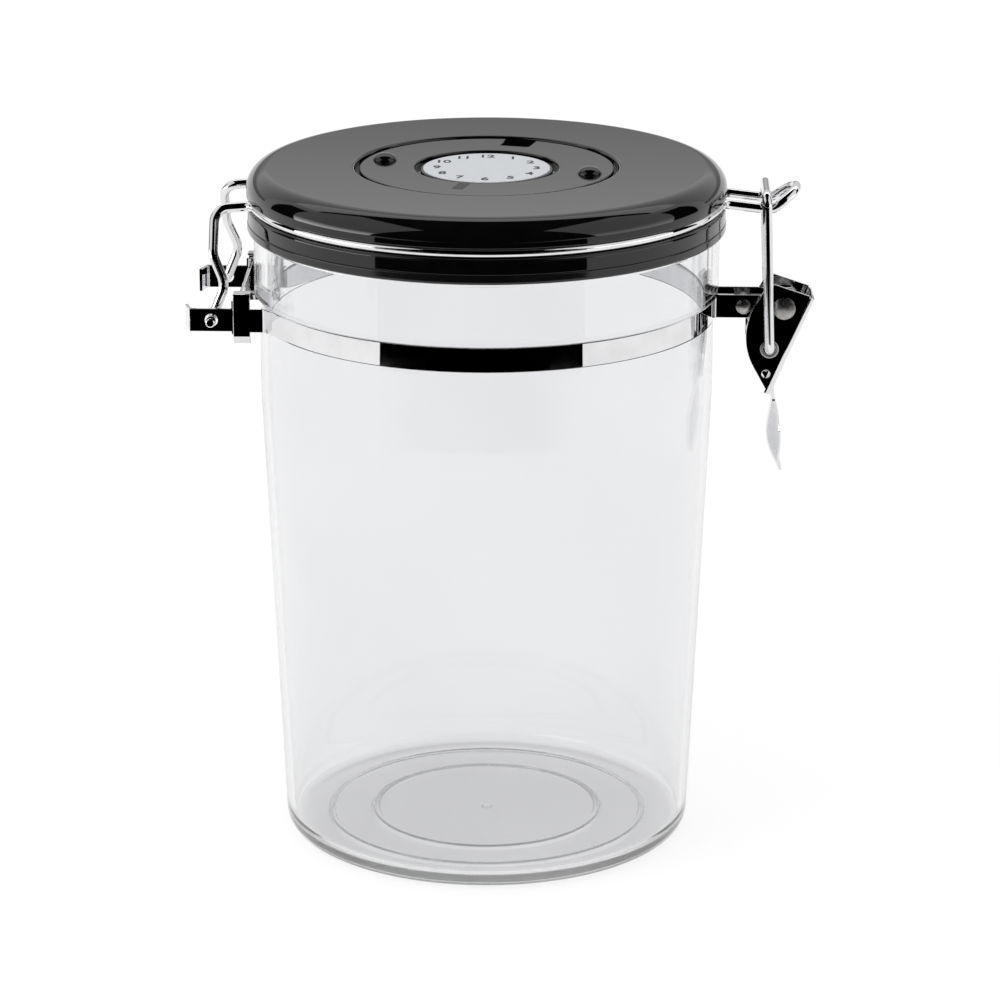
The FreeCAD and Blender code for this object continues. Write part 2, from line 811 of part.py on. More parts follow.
def make_rivet(label, place, grip, shank, head):
    """A shank with a low domed head at each end; grip is half the length between the heads."""
    end = grip + s.head_rise
    body = turned(label, [
        (0, -end), (head, -end), (head, -grip), (shank, -grip),
        (shank, grip), (head, grip), (head, end), (0, end),
    ])
    round_edges(body, s.head_rise * 0.8, rings((head, end), (head, -end)))
    across(body, place)


def make_sleeve(label, place, shank, outer):
    """A sleeve on a shank, between the two latch ears."""
    reach = s.ear_half_gap
    bore = shank + s.band_fit
    body = turned(label, [(bore, -reach), (outer, -reach), (outer, reach), (bore, reach)])
    across(body, place)


def make_latch_fasteners():
    ear_face = s.ear_half_gap + s.band_sheet
    make_sleeve("ear_spacer", s.spacer_place, s.spacer_shank, s.sleeve_radius)
    make_rivet("ear_rivet", s.spacer_place, ear_face, s.spacer_shank, s.spacer_head)
    make_sleeve("pivot_bush", s.pivot_place, s.pivot_shank, s.pivot_head)
    make_rivet("lever_pivot", s.pivot_place, s.lever_half_width + s.pivot_play, s.pivot_shank, s.pivot_head)


# The lid

def make_seal():
    """Flat rubber ring that lies on the rim."""
    bore = s.plug_radius + s.seal_fit
    body = turned("seal", [
        (bore, s.rim_height), (s.seal_radius, s.rim_height),
        (s.seal_radius, s.flange_low), (bore, s.flange_low),
    ])
    round_edges(body, s.seal_round, rings((s.seal_radius, s.rim_height), (s.seal_radius, s.flange_low)))


def make_lid_base():
    """Lower lid: plate with the valve's bore, plug into the jar, flange on the seal and neck under the cap."""
    neck_inside = s.neck_radius - s.neck_wall
    plug_inside = s.plug_radius - s.plug_wall
    body = turned("lid_base", [
        (s.valve_bore, s.plate_low), (plug_inside, s.plate_low),
        (plug_inside, s.plug_low), (s.plug_radius, s.plug_low),
        (s.plug_radius, s.flange_low), (s.flange_radius, s.flange_low),
        (s.flange_radius, s.flange_top), (s.neck_radius, s.flange_top),
        (s.neck_radius, s.groove_roof), (neck_inside, s.groove_roof),
        (neck_inside, s.plate_top), (s.valve_bore, s.plate_top),
    ])
    round_edges(body, s.flange_round, rings((s.flange_radius, s.flange_top), (s.plug_radius, s.plug_low)))


def make_lid_cap():
    """Glossy cap with a rounded shoulder and, in its middle, the dial's recess with a raised boss."""
    neck_inside = s.neck_radius - s.neck_wall
    lip_start = s.cap_radius - s.lip_width
    lip_rise = s.groove_roof - s.cap_lip
    floor_low = s.recess_floor - s.recess_sheet
    hole = s.hub_stem + s.hub_fit
    body = turned("lid_cap", [
        (hole, floor_low), (s.recess_radius + s.recess_sheet, floor_low),
        (s.recess_radius + s.recess_sheet, s.lid_top - s.cap_wall),
        (neck_inside - s.cap_wall, s.lid_top - s.cap_wall),
        (neck_inside, s.groove_roof),
        (lip_start - lip_rise, s.groove_roof), (lip_start, s.cap_lip), (s.cap_radius, s.cap_lip),
        (s.cap_radius, s.lid_top), (s.recess_radius, s.lid_top),
        (s.recess_radius, s.recess_floor), (s.boss_radius, s.recess_floor),
        (s.boss_radius, s.boss_top), (hole, s.boss_top),
    ])
    round_edges(body, s.cap_shoulder, rings((s.cap_radius, s.lid_top)))
    round_edges(body, s.ring_round, rings((s.recess_radius, s.lid_top)))
    vent = new_sketch(body, "XY_Plane", s.recess_floor)
    circle(vent, s.vent_place, 0, s.vent_radius)
    repeat_round(body, pocket(body, vent, s.recess_sheet), s.vent_count)


def make_turn_ring():
    """Date ring: two domed knobs, a window opposite a pointer mark, and a lip held under the hub."""
    low = s.recess_floor + s.ring_play
    lip = s.boss_radius + s.ring_play
    body = turned("turn_ring", [
        (lip, low), (s.ring_outer, low), (s.ring_outer, s.ring_top),
        (s.ring_inner, s.ring_top), (s.ring_inner, low + s.ring_lip), (lip, low + s.ring_lip),
    ])
    round_edges(body, s.ring_round, rings((s.ring_outer, s.ring_top), (s.ring_inner, s.ring_top)))
    knobs = new_sketch(body, "XY_Plane", s.ring_top)
    circle(knobs, s.knob_place, 0, s.knob_radius)
    circle(knobs, -s.knob_place, 0, s.knob_radius)
    pad(body, knobs, s.knob_rise)
    round_edges(body, s.knob_rise * s.knob_round_share, rings((s.knob_radius, s.knob_top)))
    holes = new_sketch(body, "XY_Plane")
    half = s.window_width / 2
    polygon(holes, [(-half, s.window_near), (half, s.window_near), (half, s.window_far), (-half, s.window_far)])
    pocket(body, holes)
    mark = new_sketch(body, "XY_Plane", s.ring_top)
    half = s.tick_width / 2
    polygon(mark, [(-half, -s.tick_far), (half, -s.tick_far), (half, -s.tick_near), (-half, -s.tick_near)])
    pocket(body, mark, s.tick_depth)
    body.Placement = FreeCAD.Placement(Vector(), FreeCAD.Rotation(Vector(0, 0, 1), s.ring_turn.value))
    body.setExpression("Placement.Rotation.Angle", s.ring_turn.text)
    doc.recompute()


def make_dial():
    """Fixed hub with a sunk white face, and the washer that holds its stem under the cap."""
    sunk = s.hub_top + s.face_stand - s.face_thickness
    body = turned("dial_hub", [
        (0, s.hub_end), (s.hub_stem, s.hub_end), (s.hub_stem, s.boss_top), (s.hub_radius, s.boss_top),
        (s.hub_radius, s.hub_top), (s.face_radius + s.hub_fit, s.hub_top),
        (s.face_radius + s.hub_fit, sunk), (0, sunk),
    ])
    round_edges(body, s.ring_round, rings((s.hub_radius, s.hub_top)))
    turned("dial_face", [
        (0, sunk), (s.face_radius, sunk),
        (s.face_radius, sunk + s.face_thickness), (0, sunk + s.face_thickness),
    ])
    washer_top = s.recess_floor - s.recess_sheet
    turned("hub_retainer", [
        (s.hub_stem + s.hub_fit, washer_top - s.retainer_sheet),
        (s.retainer_radius, washer_top - s.retainer_sheet),
        (s.retainer_radius, washer_top), (s.hub_stem + s.hub_fit, washer_top),
    ])


def make_valve():
    """One-way gas valve: holed seat in the plate, soft flap over it, and a filter in a slotted cover below."""
    seat_low = s.plate_top - s.seat_floor
    stem_hole = s.flap_stem + s.valve_fit / 2
    rim_inside = s.flap_radius + s.seat_rim - s.valve_bore
    seat = turned("valve_seat", [
        (stem_hole, seat_low), (s.valve_bore - s.valve_fit, seat_low),
        (s.valve_bore - s.valve_fit, s.plate_top), (s.seat_rim, s.plate_top),
        (s.seat_rim, s.plate_top + s.seat_rim_height), (rim_inside, s.plate_top + s.seat_rim_height),
        (rim_inside, s.plate_top), (stem_hole, s.plate_top),
    ])
    hole = new_sketch(seat, "XY_Plane", s.plate_top)
    circle(hole, s.seat_hole_place, 0, s.seat_hole_radius)
    repeat_round(seat, pocket(seat, hole, s.seat_floor), s.seat_hole_count)

    bulb_top = seat_low
    turned("valve_flap", [
        (0, bulb_top - s.flap_bulb_height), (s.flap_stem, bulb_top - s.flap_bulb_height),
        (s.flap_bulb, bulb_top), (s.flap_stem, bulb_top), (s.flap_stem, s.plate_top),
        (s.flap_radius, s.plate_top), (s.flap_radius, s.plate_top + s.flap_edge),
        (s.flap_bulb, s.plate_top + s.flap_rise), (0, s.plate_top + s.flap_rise),
    ])

    cover_inside = s.cover_radius - s.cover_wall
    floor = s.cover_low + s.cover_floor
    cover = turned("valve_cover", [
        (0, s.cover_low), (s.cover_radius, s.cover_low), (s.cover_radius, s.plate_low),
        (cover_inside, s.plate_low), (cover_inside, floor), (0, floor),
    ])
    slot = new_sketch(cover, "XY_Plane", floor)
    half = s.cover_slot_width / 2
    polygon(slot, [
        (s.cover_slot_near, -half), (s.cover_slot_far, -half),
        (s.cover_slot_far, half), (s.cover_slot_near, half),
    ])
    repeat_round(cover, pocket(cover, slot, s.cover_floor), s.cover_slot_count)
    turned("valve_filter", [
        (0, floor), (cover_inside - s.valve_fit, floor),
        (cover_inside - s.valve_fit, floor + s.filter_thickness), (0, floor + s.filter_thickness),
    ])


def make_bail():
    """Bent wire: pins and cranked legs at the hinge, a round through the lid's groove, and the latch hook."""
    groove = s.neck_radius.value + s.groove_play.value + s.wire_diameter.value / 2
    level = s.wire_level.value
    ear_inside = s.bracket_half_width.value - s.bracket_sheet.value

    def on_groove(angle):
        return Vector(groove * math.cos(angle), groove * math.sin(angle), level)

    def tangent_meets(angle, spread, direction):
        """Where the groove's tangent at the angle reaches Y = -spread."""
        start = on_groove(angle)
        run = Vector(-math.sin(angle), math.cos(angle), 0) * direction
        return start + run * ((-spread - start.y) / run.y)

    left_angle = math.pi + math.radians(s.hinge_tangent.value)
    right_angle = 2 * math.pi - math.radians(s.hook_tangent.value)
    hinge, knee, shin = s.hinge_place.value, s.knee_place.value, s.shin_place.value
    pin_corner = ear_inside - s.pin_bend.value
    leg = [
        Vector(-hinge, -s.bracket_half_width.value - s.pin_stand.value, s.band_middle.value),
        Vector(-hinge, -pin_corner, s.band_middle.value),
        Vector(-knee, -s.knee_spread.value, s.knee_height.value),
        Vector(-shin, -s.shin_spread.value, s.shin_height.value),
        Vector(-shin, -s.leg_spread.value, s.leg_top_height.value),
        tangent_meets(left_angle, s.leg_spread.value, -1),
        on_groove(left_angle),
    ]
    bends = [s.pin_bend, s.knee_bend, s.knee_bend, s.leg_bend, s.groove_bend]
    leg_edges = bent_edges(leg, [bend.value for bend in bends])
    around = Part.Arc(on_groove(left_angle), on_groove((left_angle + right_angle) / 2), on_groove(right_angle))

    slope = math.radians(s.hook_slope.value)
    climb = Vector(math.cos(slope), 0, math.sin(slope))
    spread = s.hook_spread.value
    crook = Vector(s.crook_place.value, -spread, s.crook_height.value)
    bow_start = crook + climb * ((s.hook_tip.value - s.crook_place.value) / math.cos(slope) - spread)
    hook_edges = bent_edges(
        [on_groove(right_angle), tangent_meets(right_angle, spread, 1), crook, bow_start],
        [s.groove_bend.value, s.leg_bend.value])
    bow_middle = Vector(bow_start.x, 0, bow_start.z)
    eighth = math.radians(45)
    bow_between = bow_middle + climb * (spread * math.sin(eighth)) - Vector(0, spread * math.cos(eighth), 0)
    bow = Part.Arc(bow_start, bow_between, bow_middle + climb * spread)
    wire_piece("bail", leg_edges + [around.toShape()] + hook_edges + [bow.toShape()], Vector(0, 1, 0))


# The latch

def make_lever():
    """Latch lever: two cheeks joined by a spine, and a cupped thumb tab on the spine's lower end."""
    body = new_body("lever")
    slope = (s.spine_top_place - s.spine_end_place) / (s.spine_top_height - s.spine_end_height)
    tab_rise = s.spine_end_height + s.tab_overlap - s.tab_tip_height
    tab_top_place = s.spine_end_place + slope * s.tab_overlap

    # The tab is a shallow gutter, trimmed to a leaf.
    gutter = new_sketch(body, "XY_Plane", s.tab_tip_height)
    centre = s.tab_tip_place - s.tab_cup
    inner = s.tab_cup - s.lever_sheet
    inner_half = s.tab_half_width * inner / s.tab_cup
    opening = math.asin(s.tab_half_width.value / s.tab_cup.value)
    middle = Vector(centre.value, 0, 0)

    def on_arc(radius, angle):
        return middle + Vector(math.cos(angle), math.sin(angle), 0) * radius.value

    up = Vector(0, 0, 1)
    outer_circle, inner_circle = Part.Circle(middle, up, s.tab_cup.value), Part.Circle(middle, up, inner.value)
    outer_arc = gutter.addGeometry(Part.ArcOfCircle(outer_circle, -opening, opening))
    inner_arc = gutter.addGeometry(Part.ArcOfCircle(inner_circle, -opening, opening))
    tie = Sketcher.Constraint
    for end, side, angle in ((1, -1, -opening), (2, 1, opening)):
        joint = gutter.addGeometry(Part.LineSegment(on_arc(s.tab_cup, angle), on_arc(inner, angle)))
        gutter.addConstraint(tie("Coincident", joint, 1, outer_arc, end))
        gutter.addConstraint(tie("Coincident", joint, 2, inner_arc, end))
        bind(gutter, "DistanceY", -1, 1, outer_arc, end, size=s.tab_half_width * side)
        bind(gutter, "DistanceY", -1, 1, inner_arc, end, size=inner_half * side)
    gutter.addConstraint(tie("Coincident", inner_arc, 3, outer_arc, 3))
    pin_point(gutter, outer_arc, 3, centre, 0)
    bind(gutter, "Radius", outer_arc, size=s.tab_cup)
    bind(gutter, "Radius", inner_arc, size=inner)
    tab = body.newObject("PartDesign::Pad", "Tab")
    tab.Profile = gutter
    tab.UseCustomVector = True
    tab.Direction = Vector((tab_top_place - s.tab_tip_place).value, 0, tab_rise.value)
    tab.setExpression("Direction.x", (tab_top_place - s.tab_tip_place).text)
    tab.setExpression("Direction.z", tab_rise.text)
    tab.Length = tab_rise.value
    tab.setExpression("Length", tab_rise.text)
    doc.recompute()

    leaf = new_sketch(body, "YZ_Plane")
    top = s.spine_end_height + s.tab_overlap * 2
    low = s.tab_tip_height - s.tab_overlap
    wide = s.tab_half_width + s.tab_overlap
    for side in (1, -1):
        neck = Vector(s.tab_neck.value * side, top.value, 0)
        end = Vector(s.tab_tip_half.value * side, low.value, 0)
        chord = end - neck
        radius = s.tab_edge_radius.value
        swell = radius - math.sqrt(radius ** 2 - chord.Length ** 2 / 4)
        across_chord = Vector(chord.y, -chord.x, 0).normalize() * -side
        edge = leaf.addGeometry(Part.Arc(neck, (neck + end) * 0.5 + across_chord * swell, end))
        neck_end, tip_end = (2, 1) if side == 1 else (1, 2)
        corners = [end, Vector(wide.value * side, low.value, 0), Vector(wide.value * side, top.value, 0), neck]
        lines = [leaf.addGeometry(Part.LineSegment(a, b)) for a, b in zip(corners, corners[1:])]
        leaf.addConstraint(tie("Coincident", lines[0], 1, edge, tip_end))
        leaf.addConstraint(tie("Coincident", lines[0], 2, lines[1], 1))
        leaf.addConstraint(tie("Coincident", lines[1], 2, lines[2], 1))
        leaf.addConstraint(tie("Coincident", lines[2], 2, edge, neck_end))
        pin_point(leaf, edge, tip_end, s.tab_tip_half * side, low)
        pin_point(leaf, edge, neck_end, s.tab_neck * side, top)
        pin_point(leaf, lines[1], 1, wide * side, low)
        pin_point(leaf, lines[1], 2, wide * side, top)
        bind(leaf, "Radius", edge, size=s.tab_edge_radius)
    pocket(body, leaf)

    cheek = new_sketch(body, "XZ_Plane")
    cheek_top = (s.cheek_top_place, s.cheek_top_height)
    spine_top = (s.spine_top_place, s.spine_top_height)
    cheek_side = (s.cheek_side_place, s.cheek_side_height)
    polygon(cheek, [cheek_top, cheek_side, (s.spine_end_place, s.spine_end_height), spine_top])
    pad(body, cheek, s.lever_half_width * 2, both_sides=True)
    round_edges(body, s.cheek_side_round, cross_edges(cheek_side))
    round_edges(body, s.cheek_top_round, cross_edges(cheek_top))
    round_edges(body, s.spine_round, cross_edges(spine_top))
    rim = new_sketch(body, "XZ_Plane")
    circle(rim, s.link_hole_place, s.link_hole_height, s.hole_rim_radius)
    pad(body, rim, (s.lever_half_width + s.hole_rim_rise) * 2, both_sides=True)

    # The channel is all that lies on the jar's side of the spine, between the cheeks.
    channel = new_sketch(body, "XZ_Plane")
    shift = s.lever_sheet * root(slope * slope + 1)
    over = s.lever_half_width
    high, deep = s.cheek_top_height + over, s.spine_end_height - over
    high_place = s.spine_end_place - shift + slope * (high - s.spine_end_height)
    deep_place = s.spine_end_place - shift + slope * (deep - s.spine_end_height)
    clear = s.cheek_side_place - over
    polygon(channel, [(high_place, high), (clear, high), (clear, deep), (deep_place, deep)])
    pocket(body, channel, (s.lever_half_width - s.lever_sheet) * 2, both_sides=True)

    holes = new_sketch(body, "XZ_Plane")
    circle(holes, s.pivot_place, s.band_middle, s.pivot_shank + s.pivot_play)
    circle(holes, s.link_hole_place, s.link_hole_height, s.wire_diameter / 2 + s.link_play)
    circle(holes, s.sight_hole_place, s.sight_hole_height, s.sight_hole_radius)
    pocket(body, holes)


def make_link():
    """Wire link: pins turned in through the lever's cheeks, two legs, and a bar over the bail's hook."""
    foot = Vector(s.link_hole_place.value, -s.link_foot_spread.value, s.link_hole_height.value)
    inset = s.lever_half_width.value - s.lever_sheet.value - s.link_pin_inset.value
    front = [
        Vector(foot.x, -inset, foot.z),
        foot,
        Vector(s.link_bar_place.value, -s.link_bar_spread.value, s.link_bar_height.value),
        Vector(s.link_bar_place.value, 0, s.link_bar_height.value),
    ]
    wire_piece("link", bent_edges(front, [s.link_foot_bend.value, s.link_bar_bend.value]), Vector(0, -1, 0))


make_jar()
make_band()
make_bracket()
make_latch_fasteners()
make_seal()
make_lid_base()
make_lid_cap()
make_turn_ring()
make_dial()
make_valve()
make_bail()
make_lever()
make_link()

# The origin is the middle of the whole box on the table: every piece moves along X, and the rear band follows
# the front one.
for piece in pieces:
    if piece.TypeId != "Part::Mirroring":
        place = crosswise.get(piece.Label, sized(0)) + s.axis_place
        piece.setExpression("Placement.Base.x", place.text)
doc.recompute()

for item in doc.Objects:
    if "Invalid" in item.State or "Error" in item.State:
        raise ValueError(f"{item.Label} is {item.State}")
for piece in pieces:
    if piece.Shape.isNull() or not piece.Shape.isValid() or not piece.Shape.Solids:
        raise ValueError(f"{piece.Label} has no valid solid")

os.makedirs("parts", exist_ok=True)
for piece in pieces:
    piece.Shape.exportStep(f"parts/{piece.Label}.step")
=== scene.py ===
"""Clear canister with a clamp lid: the visible pieces, their finishes, the light and the camera."""
import math

import bmesh
import bpy
import numpy as np
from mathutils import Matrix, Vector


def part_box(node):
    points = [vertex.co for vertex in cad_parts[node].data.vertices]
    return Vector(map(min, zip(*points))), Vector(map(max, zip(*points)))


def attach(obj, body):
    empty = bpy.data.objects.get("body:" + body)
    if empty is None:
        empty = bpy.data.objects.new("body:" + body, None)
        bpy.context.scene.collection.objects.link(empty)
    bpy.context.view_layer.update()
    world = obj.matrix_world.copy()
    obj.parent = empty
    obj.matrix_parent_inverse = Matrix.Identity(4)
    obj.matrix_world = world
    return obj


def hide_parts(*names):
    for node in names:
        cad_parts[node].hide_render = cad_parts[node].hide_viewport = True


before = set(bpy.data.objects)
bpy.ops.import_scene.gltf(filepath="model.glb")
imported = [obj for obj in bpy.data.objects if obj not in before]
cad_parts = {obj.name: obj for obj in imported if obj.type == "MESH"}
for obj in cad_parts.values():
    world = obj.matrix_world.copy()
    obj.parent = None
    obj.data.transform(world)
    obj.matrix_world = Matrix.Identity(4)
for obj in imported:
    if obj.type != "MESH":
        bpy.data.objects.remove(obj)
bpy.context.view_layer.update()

# Shapes are written in millimetres about the jar's axis, which stands off the frame's origin.
MM = 0.001
jar_low, jar_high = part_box("jar")
AXIS = (jar_low[0] + jar_high[0]) / 2 / MM
RIM = jar_high[2] / MM
LID_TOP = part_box("lid_cap")[1][2] / MM

# Sizes: wire and jar
WIRE = 2.6
JAR_FLOOR = 3.2
FOOT_OUTER = 54.5
FLOOR_INNER = 52.5
WALL_BEND = 122.0
WALL_OUTER = 60.0
WALL_INNER = 58.0
SEAT_OUTER = 59.4
SEAT_LOW = 142.8
COLLAR_LOW = 149.4
COLLAR_OUTER = 61.4

# Sizes: clamp band
BAND_MIDDLE = 146.0
BAND_HALF_HEIGHT = 3.1
BAND_HALF_SHEET = 0.3
BAND_LINE = 59.8
EAR_LINE = 4.3
EAR_BEND = 1.6
EAR_END = 81.9
EAR_CHAMFER = 1.3
CRIMP_LINE = 23.6
CRIMP_BEND = 57.9
CRIMP_NEAR = 60.7
CRIMP_FAR = 65.2
CRIMP_TOP = 153.1
CRIMP_LOW = 139.5
CRIMP_FOLD = 3.4
CRIMP_SLANT = 2.0

# Sizes: hinge bracket
BRACKET_HALF = 23.2
BRACKET_SHEET = 0.8
BRACKET_TOP = 151.0
BRACKET_LOW = 142.2
WEB_PLACE = 63.6
WEB_BEND = 1.6
ROOT_END = 65.0
EAR_START = 64.8
STOP_CORNER = 76.6
STOP_TIP = 78.1
STOP_INSET = 4.9
HINGE_EAR_HALF = 3.05
HINGE_PLACE = 70.9
PIN_PLAY = 0.35

# Sizes: seal and lid
SEAL_INNER = 53.2
SEAL_OUTER = 63.0
SEAL_LEDGE = 62.2
SEAL_TOP = RIM + 4.0
SKIRT_LOW = 168.7
SKIRT_INNER = 62.3
SKIRT_TOP = 170.2
LID_BORE = 13.0
LID_PLATE_LOW = 168.0
LID_PLATE_TOP = 170.4
PLUG_INNER = 50.6
PLUG_OUTER = 53.0
PLUG_LOW = 163.2
FLANGE_OUTER = 62.9
FLANGE_TOP = 172.9
GROOVE_WALL = 60.1
GROOVE_RING_INNER = 57.5
GROOVE_LINE = 61.6
GROOVE_LEVEL = 174.25
CAP_LOW = 175.9
CAP_LIP = 175.5
CAP_OUTER = 63.2
CAP_ROUND = 5.6
CAP_UNDER = 180.2
RECESS_OUTER = 34.6
RECESS_FLOOR = 179.6
RECESS_UNDER = 177.8

# Sizes: dial and date ring
STEM_BORE = 5.1
STEM_RADIUS = 5.0
STEM_LOW = 175.4
BOSS_RADIUS = 15.6
BOSS_TOP = 180.9
HUB_RADIUS = 17.4
HUB_TOP = 181.7
FACE_SEAT = 16.8
FACE_RADIUS = 16.7
FACE_TOP = 181.9
FACE_LOW = FACE_TOP - 0.6
RING_OUTER = 33.4
RING_INNER = 19.0
RING_LIP_INNER = 15.9
RING_LIP_TALL = 0.7
RING_LOW = 179.9
RING_TOP = 182.15
RING_TURN = math.radians(-14.5)
WINDOW_HALF = 3.9
WINDOW_NEAR = 25.4
MARK_HALF = 1.5
MARK_NEAR = 19.9
MARK_FAR = 26.6
KNOB_RADIUS = 3.168
KNOB_PLACE = 28.0
KNOB_RISE = 1.9
KNOB_SUNK = 0.3

# Sizes: bail, as angles on the groove and as points on its front side
LEG_LEAVES = math.radians(18.0)
LEG_PIN_END = -26.4
LEG_FOOT = -20.6
LEG_KNEE = (-67.3, -20.3, 154.8)
LEG_BULGE = (-70.5, -19.2, 162.4)
LEG_TOP = (-70.5, -13.5, 173.4)
HOOK_LEAVES = math.radians(11.0)
HOOK_SPREAD = 6.6
HOOK_SLOPE = math.radians(37.0)
HOOK_CROOK = (74.9, 172.7)
HOOK_END = 81.2

# Sizes: latch
LEVER_HALF = 6.2
LEVER_SHEET = 0.8
PIVOT_PLACE = 78.5
PIVOT_HOLE = 1.7
SPACER_PLACE = 67.8
LINK_HOLE = (74.8, 134.9)
LINK_BORE = WIRE / 2 + 0.3
SIGHT_HOLE = (74.0, 128.0, 1.1)
CHEEK_TOP = (74.4, 152.9)
CHEEK_SIDE = (66.0, 138.2)
CHEEK_ROUND = 17.0
SPINE_END = (75.1, 121.8)
SPINE_TOP = (86.7, 148.8)
SPINE_BEND = 1.4
TAB_TIP = (78.9, 100.1)
TAB_NECK = 2.9
TAB_NECK_HEIGHT = 119.5
TAB_TIP_HALF = 1.2
TAB_SWELL = 4.5
TAB_BOW = 2.4
TAB_CUP = 8.2
TAB_OVERLAP = 1.5
EYELET_RADIUS = 2.5
EYELET_RISE = 0.55
LINK_PIN_END = -4.9
LINK_LOW_SPREAD = -8.7
LINK_HIGH_SPREAD = -9.9
LINK_BAR = (73.3, 176.8)


# Surfaces

def rounded(corners, steps=8, closed=False):
    """A line through corners (coordinates..., radius): each corner turns on an arc of its radius.

    The arc touches both runs at radius / tan(half the corner's angle). A point just before and just after
    each arc keeps the shading of the flat runs flat.
    """
    points = [np.array(corner[:-1], float) for corner in corners]
    count = len(points)
    line = []
    for i, corner in enumerate(corners):
        here, radius = points[i], corner[-1]
        if (not closed and i in (0, count - 1)) or radius == 0:
            line.append(here[None])
            continue
        back = points[i - 1] - here
        on = points[(i + 1) % count] - here
        back_length, on_length = np.linalg.norm(back), np.linalg.norm(on)
        back, on = back / back_length, on / on_length
        half = math.acos(np.clip(back @ on, -1, 1)) / 2
        reach = radius / math.tan(half)
        middle = here + (back + on) / np.linalg.norm(back + on) * radius / math.sin(half)
        start, end = here + back * reach - middle, here + on * reach - middle
        sweep = math.pi - 2 * half
        k = np.linspace(0, 1, steps)[:, None]
        arc = middle + (np.sin((1 - k) * sweep) * start + np.sin(k * sweep) * end) / math.sin(sweep)
        lead = min(0.25 * radius, 0.3 * max(back_length - reach, 1e-3))
        tail = min(0.25 * radius, 0.3 * max(on_length - reach, 1e-3))
        line += [arc[:1] + back * lead, arc, arc[-1:] + on * tail]
    return np.concatenate(line)


def grid(points, wrap_u=False, wrap_v=False):
    """Vertices and four-sided faces of a surface given on a grid of two parameters."""
    nu, nv = points.shape[:2]
    index = np.arange(nu * nv).reshape(nu, nv)
    if wrap_u:
        index = np.concatenate([index, index[:1]])
    if wrap_v:
        index = np.concatenate([index, index[:, :1]], axis=1)
    faces = np.stack([index[:-1, :-1], index[1:, :-1], index[1:, 1:], index[:-1, 1:]], axis=-1)
    return points.reshape(-1, 3), faces.reshape(-1, 4)


def joined(*shapes):
    """Several (vertices, faces) pairs as one."""
    vertices, faces, start = [], [], 0
    for shape_vertices, shape_faces in shapes:
        vertices.append(shape_vertices)
        faces += [[start + int(i) for i in face] for face in shape_faces]
        start += len(shape_vertices)
    return np.concatenate(vertices), faces


def lathe(corners, sides=192, steps=8, closed=True):
    """A rounded profile (distance, height) carried round the axis: x = r cos a, y = r sin a, z = h."""
    profile = rounded(corners, steps, closed)
    angle = np.linspace(0, 2 * np.pi, sides, endpoint=False)[:, None]
    r, h = profile[None, :, 0], profile[None, :, 1]
    level = np.broadcast_to(h, (sides, h.shape[1]))
    return grid(np.stack([r * np.cos(angle), r * np.sin(angle), level], axis=-1), wrap_u=True, wrap_v=closed)


def crosswise(shape, place, height):
    """A lathe's shape laid along Y, its axis through the place and height."""
    vertices, faces = shape
    x, y, z = vertices.T
    return np.stack([place + x, z, height + y], axis=1), faces


def wire(path, radius=WIRE / 2, sides=24):
    """A circle carried along a path, each ring turned from the last by the least turn, with eased ends.

    Ring i is path + radius (cos a n + sin a b), where n and b are square to the heading.
    """
    heading = np.gradient(path, axis=0)
    heading /= np.linalg.norm(heading, axis=1)[:, None]
    side = np.cross(heading[0], (0.31, 0.52, 0.79))
    sides_of_rings = []
    for direction in heading:
        side = side - direction * (side @ direction)
        side = side / np.linalg.norm(side)
        sides_of_rings.append(side)
    n = np.array(sides_of_rings)
    ease = np.array([0.0, 0.0, 0.13, 0.4])
    width = np.array([0.0, 0.72, 0.93, 1.0])
    first = path[:1] + heading[:1] * ease[:, None] * radius
    last = path[-1:] - heading[-1:] * ease[::-1, None] * radius
    middle = path[2:-2]
    centre = np.concatenate([first, middle, last])
    n = np.concatenate([np.repeat(n[:1], 4, 0), n[2:-2], np.repeat(n[-1:], 4, 0)])
    along = np.concatenate([np.repeat(heading[:1], 4, 0), heading[2:-2], np.repeat(heading[-1:], 4, 0)])
    size = np.concatenate([width, np.ones(len(middle)), width[::-1]]) * radius
    b = np.cross(along, n)
    a = np.linspace(0, 2 * np.pi, sides, endpoint=False)[None, :, None]
    points = centre[:, None] + size[:, None, None] * (np.cos(a) * n[:, None] + np.sin(a) * b[:, None])
    return grid(points, wrap_v=True)


def spread_along(path, step):
    """The path with extra points, so that no run between two is longer than the step."""
    gaps = np.linalg.norm(np.diff(path, axis=0), axis=1)
    counts = np.maximum(np.ceil(gaps / step).astype(int), 1)
    runs = [a + (b - a) * np.arange(n)[:, None] / n for a, b, n in zip(path[:-1], path[1:], counts)]
    return np.concatenate(runs + [path[-1:]])


def strip(path, half_sheet, low, high, ease=0.12):
    """A flat sheet on edge carried along a path in plan, from a low to a high edge given at each point.

    The section is a rectangle with eased corners; its offset is along the path's normal in plan.
    """
    heading = np.gradient(path, axis=0)
    heading /= np.linalg.norm(heading, axis=1)[:, None]
    normal = np.stack([heading[:, 1], -heading[:, 0]], axis=1)
    out = np.array([-1, -1, -1 + ease / half_sheet, 1 - ease / half_sheet, 1, 1, 1 - ease / half_sheet,
                    -1 + ease / half_sheet]) * half_sheet
    rise = np.array([1, 0, 0, 0, 0, 1, 1, 1])
    inset = np.array([-ease, ease, 0, 0, ease, -ease, 0, 0])
    low, high = np.broadcast_to(low, len(path)), np.broadcast_to(high, len(path))
    z = low[:, None] + (high - low)[:, None] * rise + inset
    xy = path[:, None] + normal[:, None] * out[None, :, None]
    points = np.concatenate([xy, z[..., None]], axis=-1)
    ends = points.mean(axis=1, keepdims=True)
    first = np.broadcast_to(ends[:1], (1,) + points.shape[1:])
    last = np.broadcast_to(ends[-1:], (1,) + points.shape[1:])
    return grid(np.concatenate([first, points, last]), wrap_v=True)


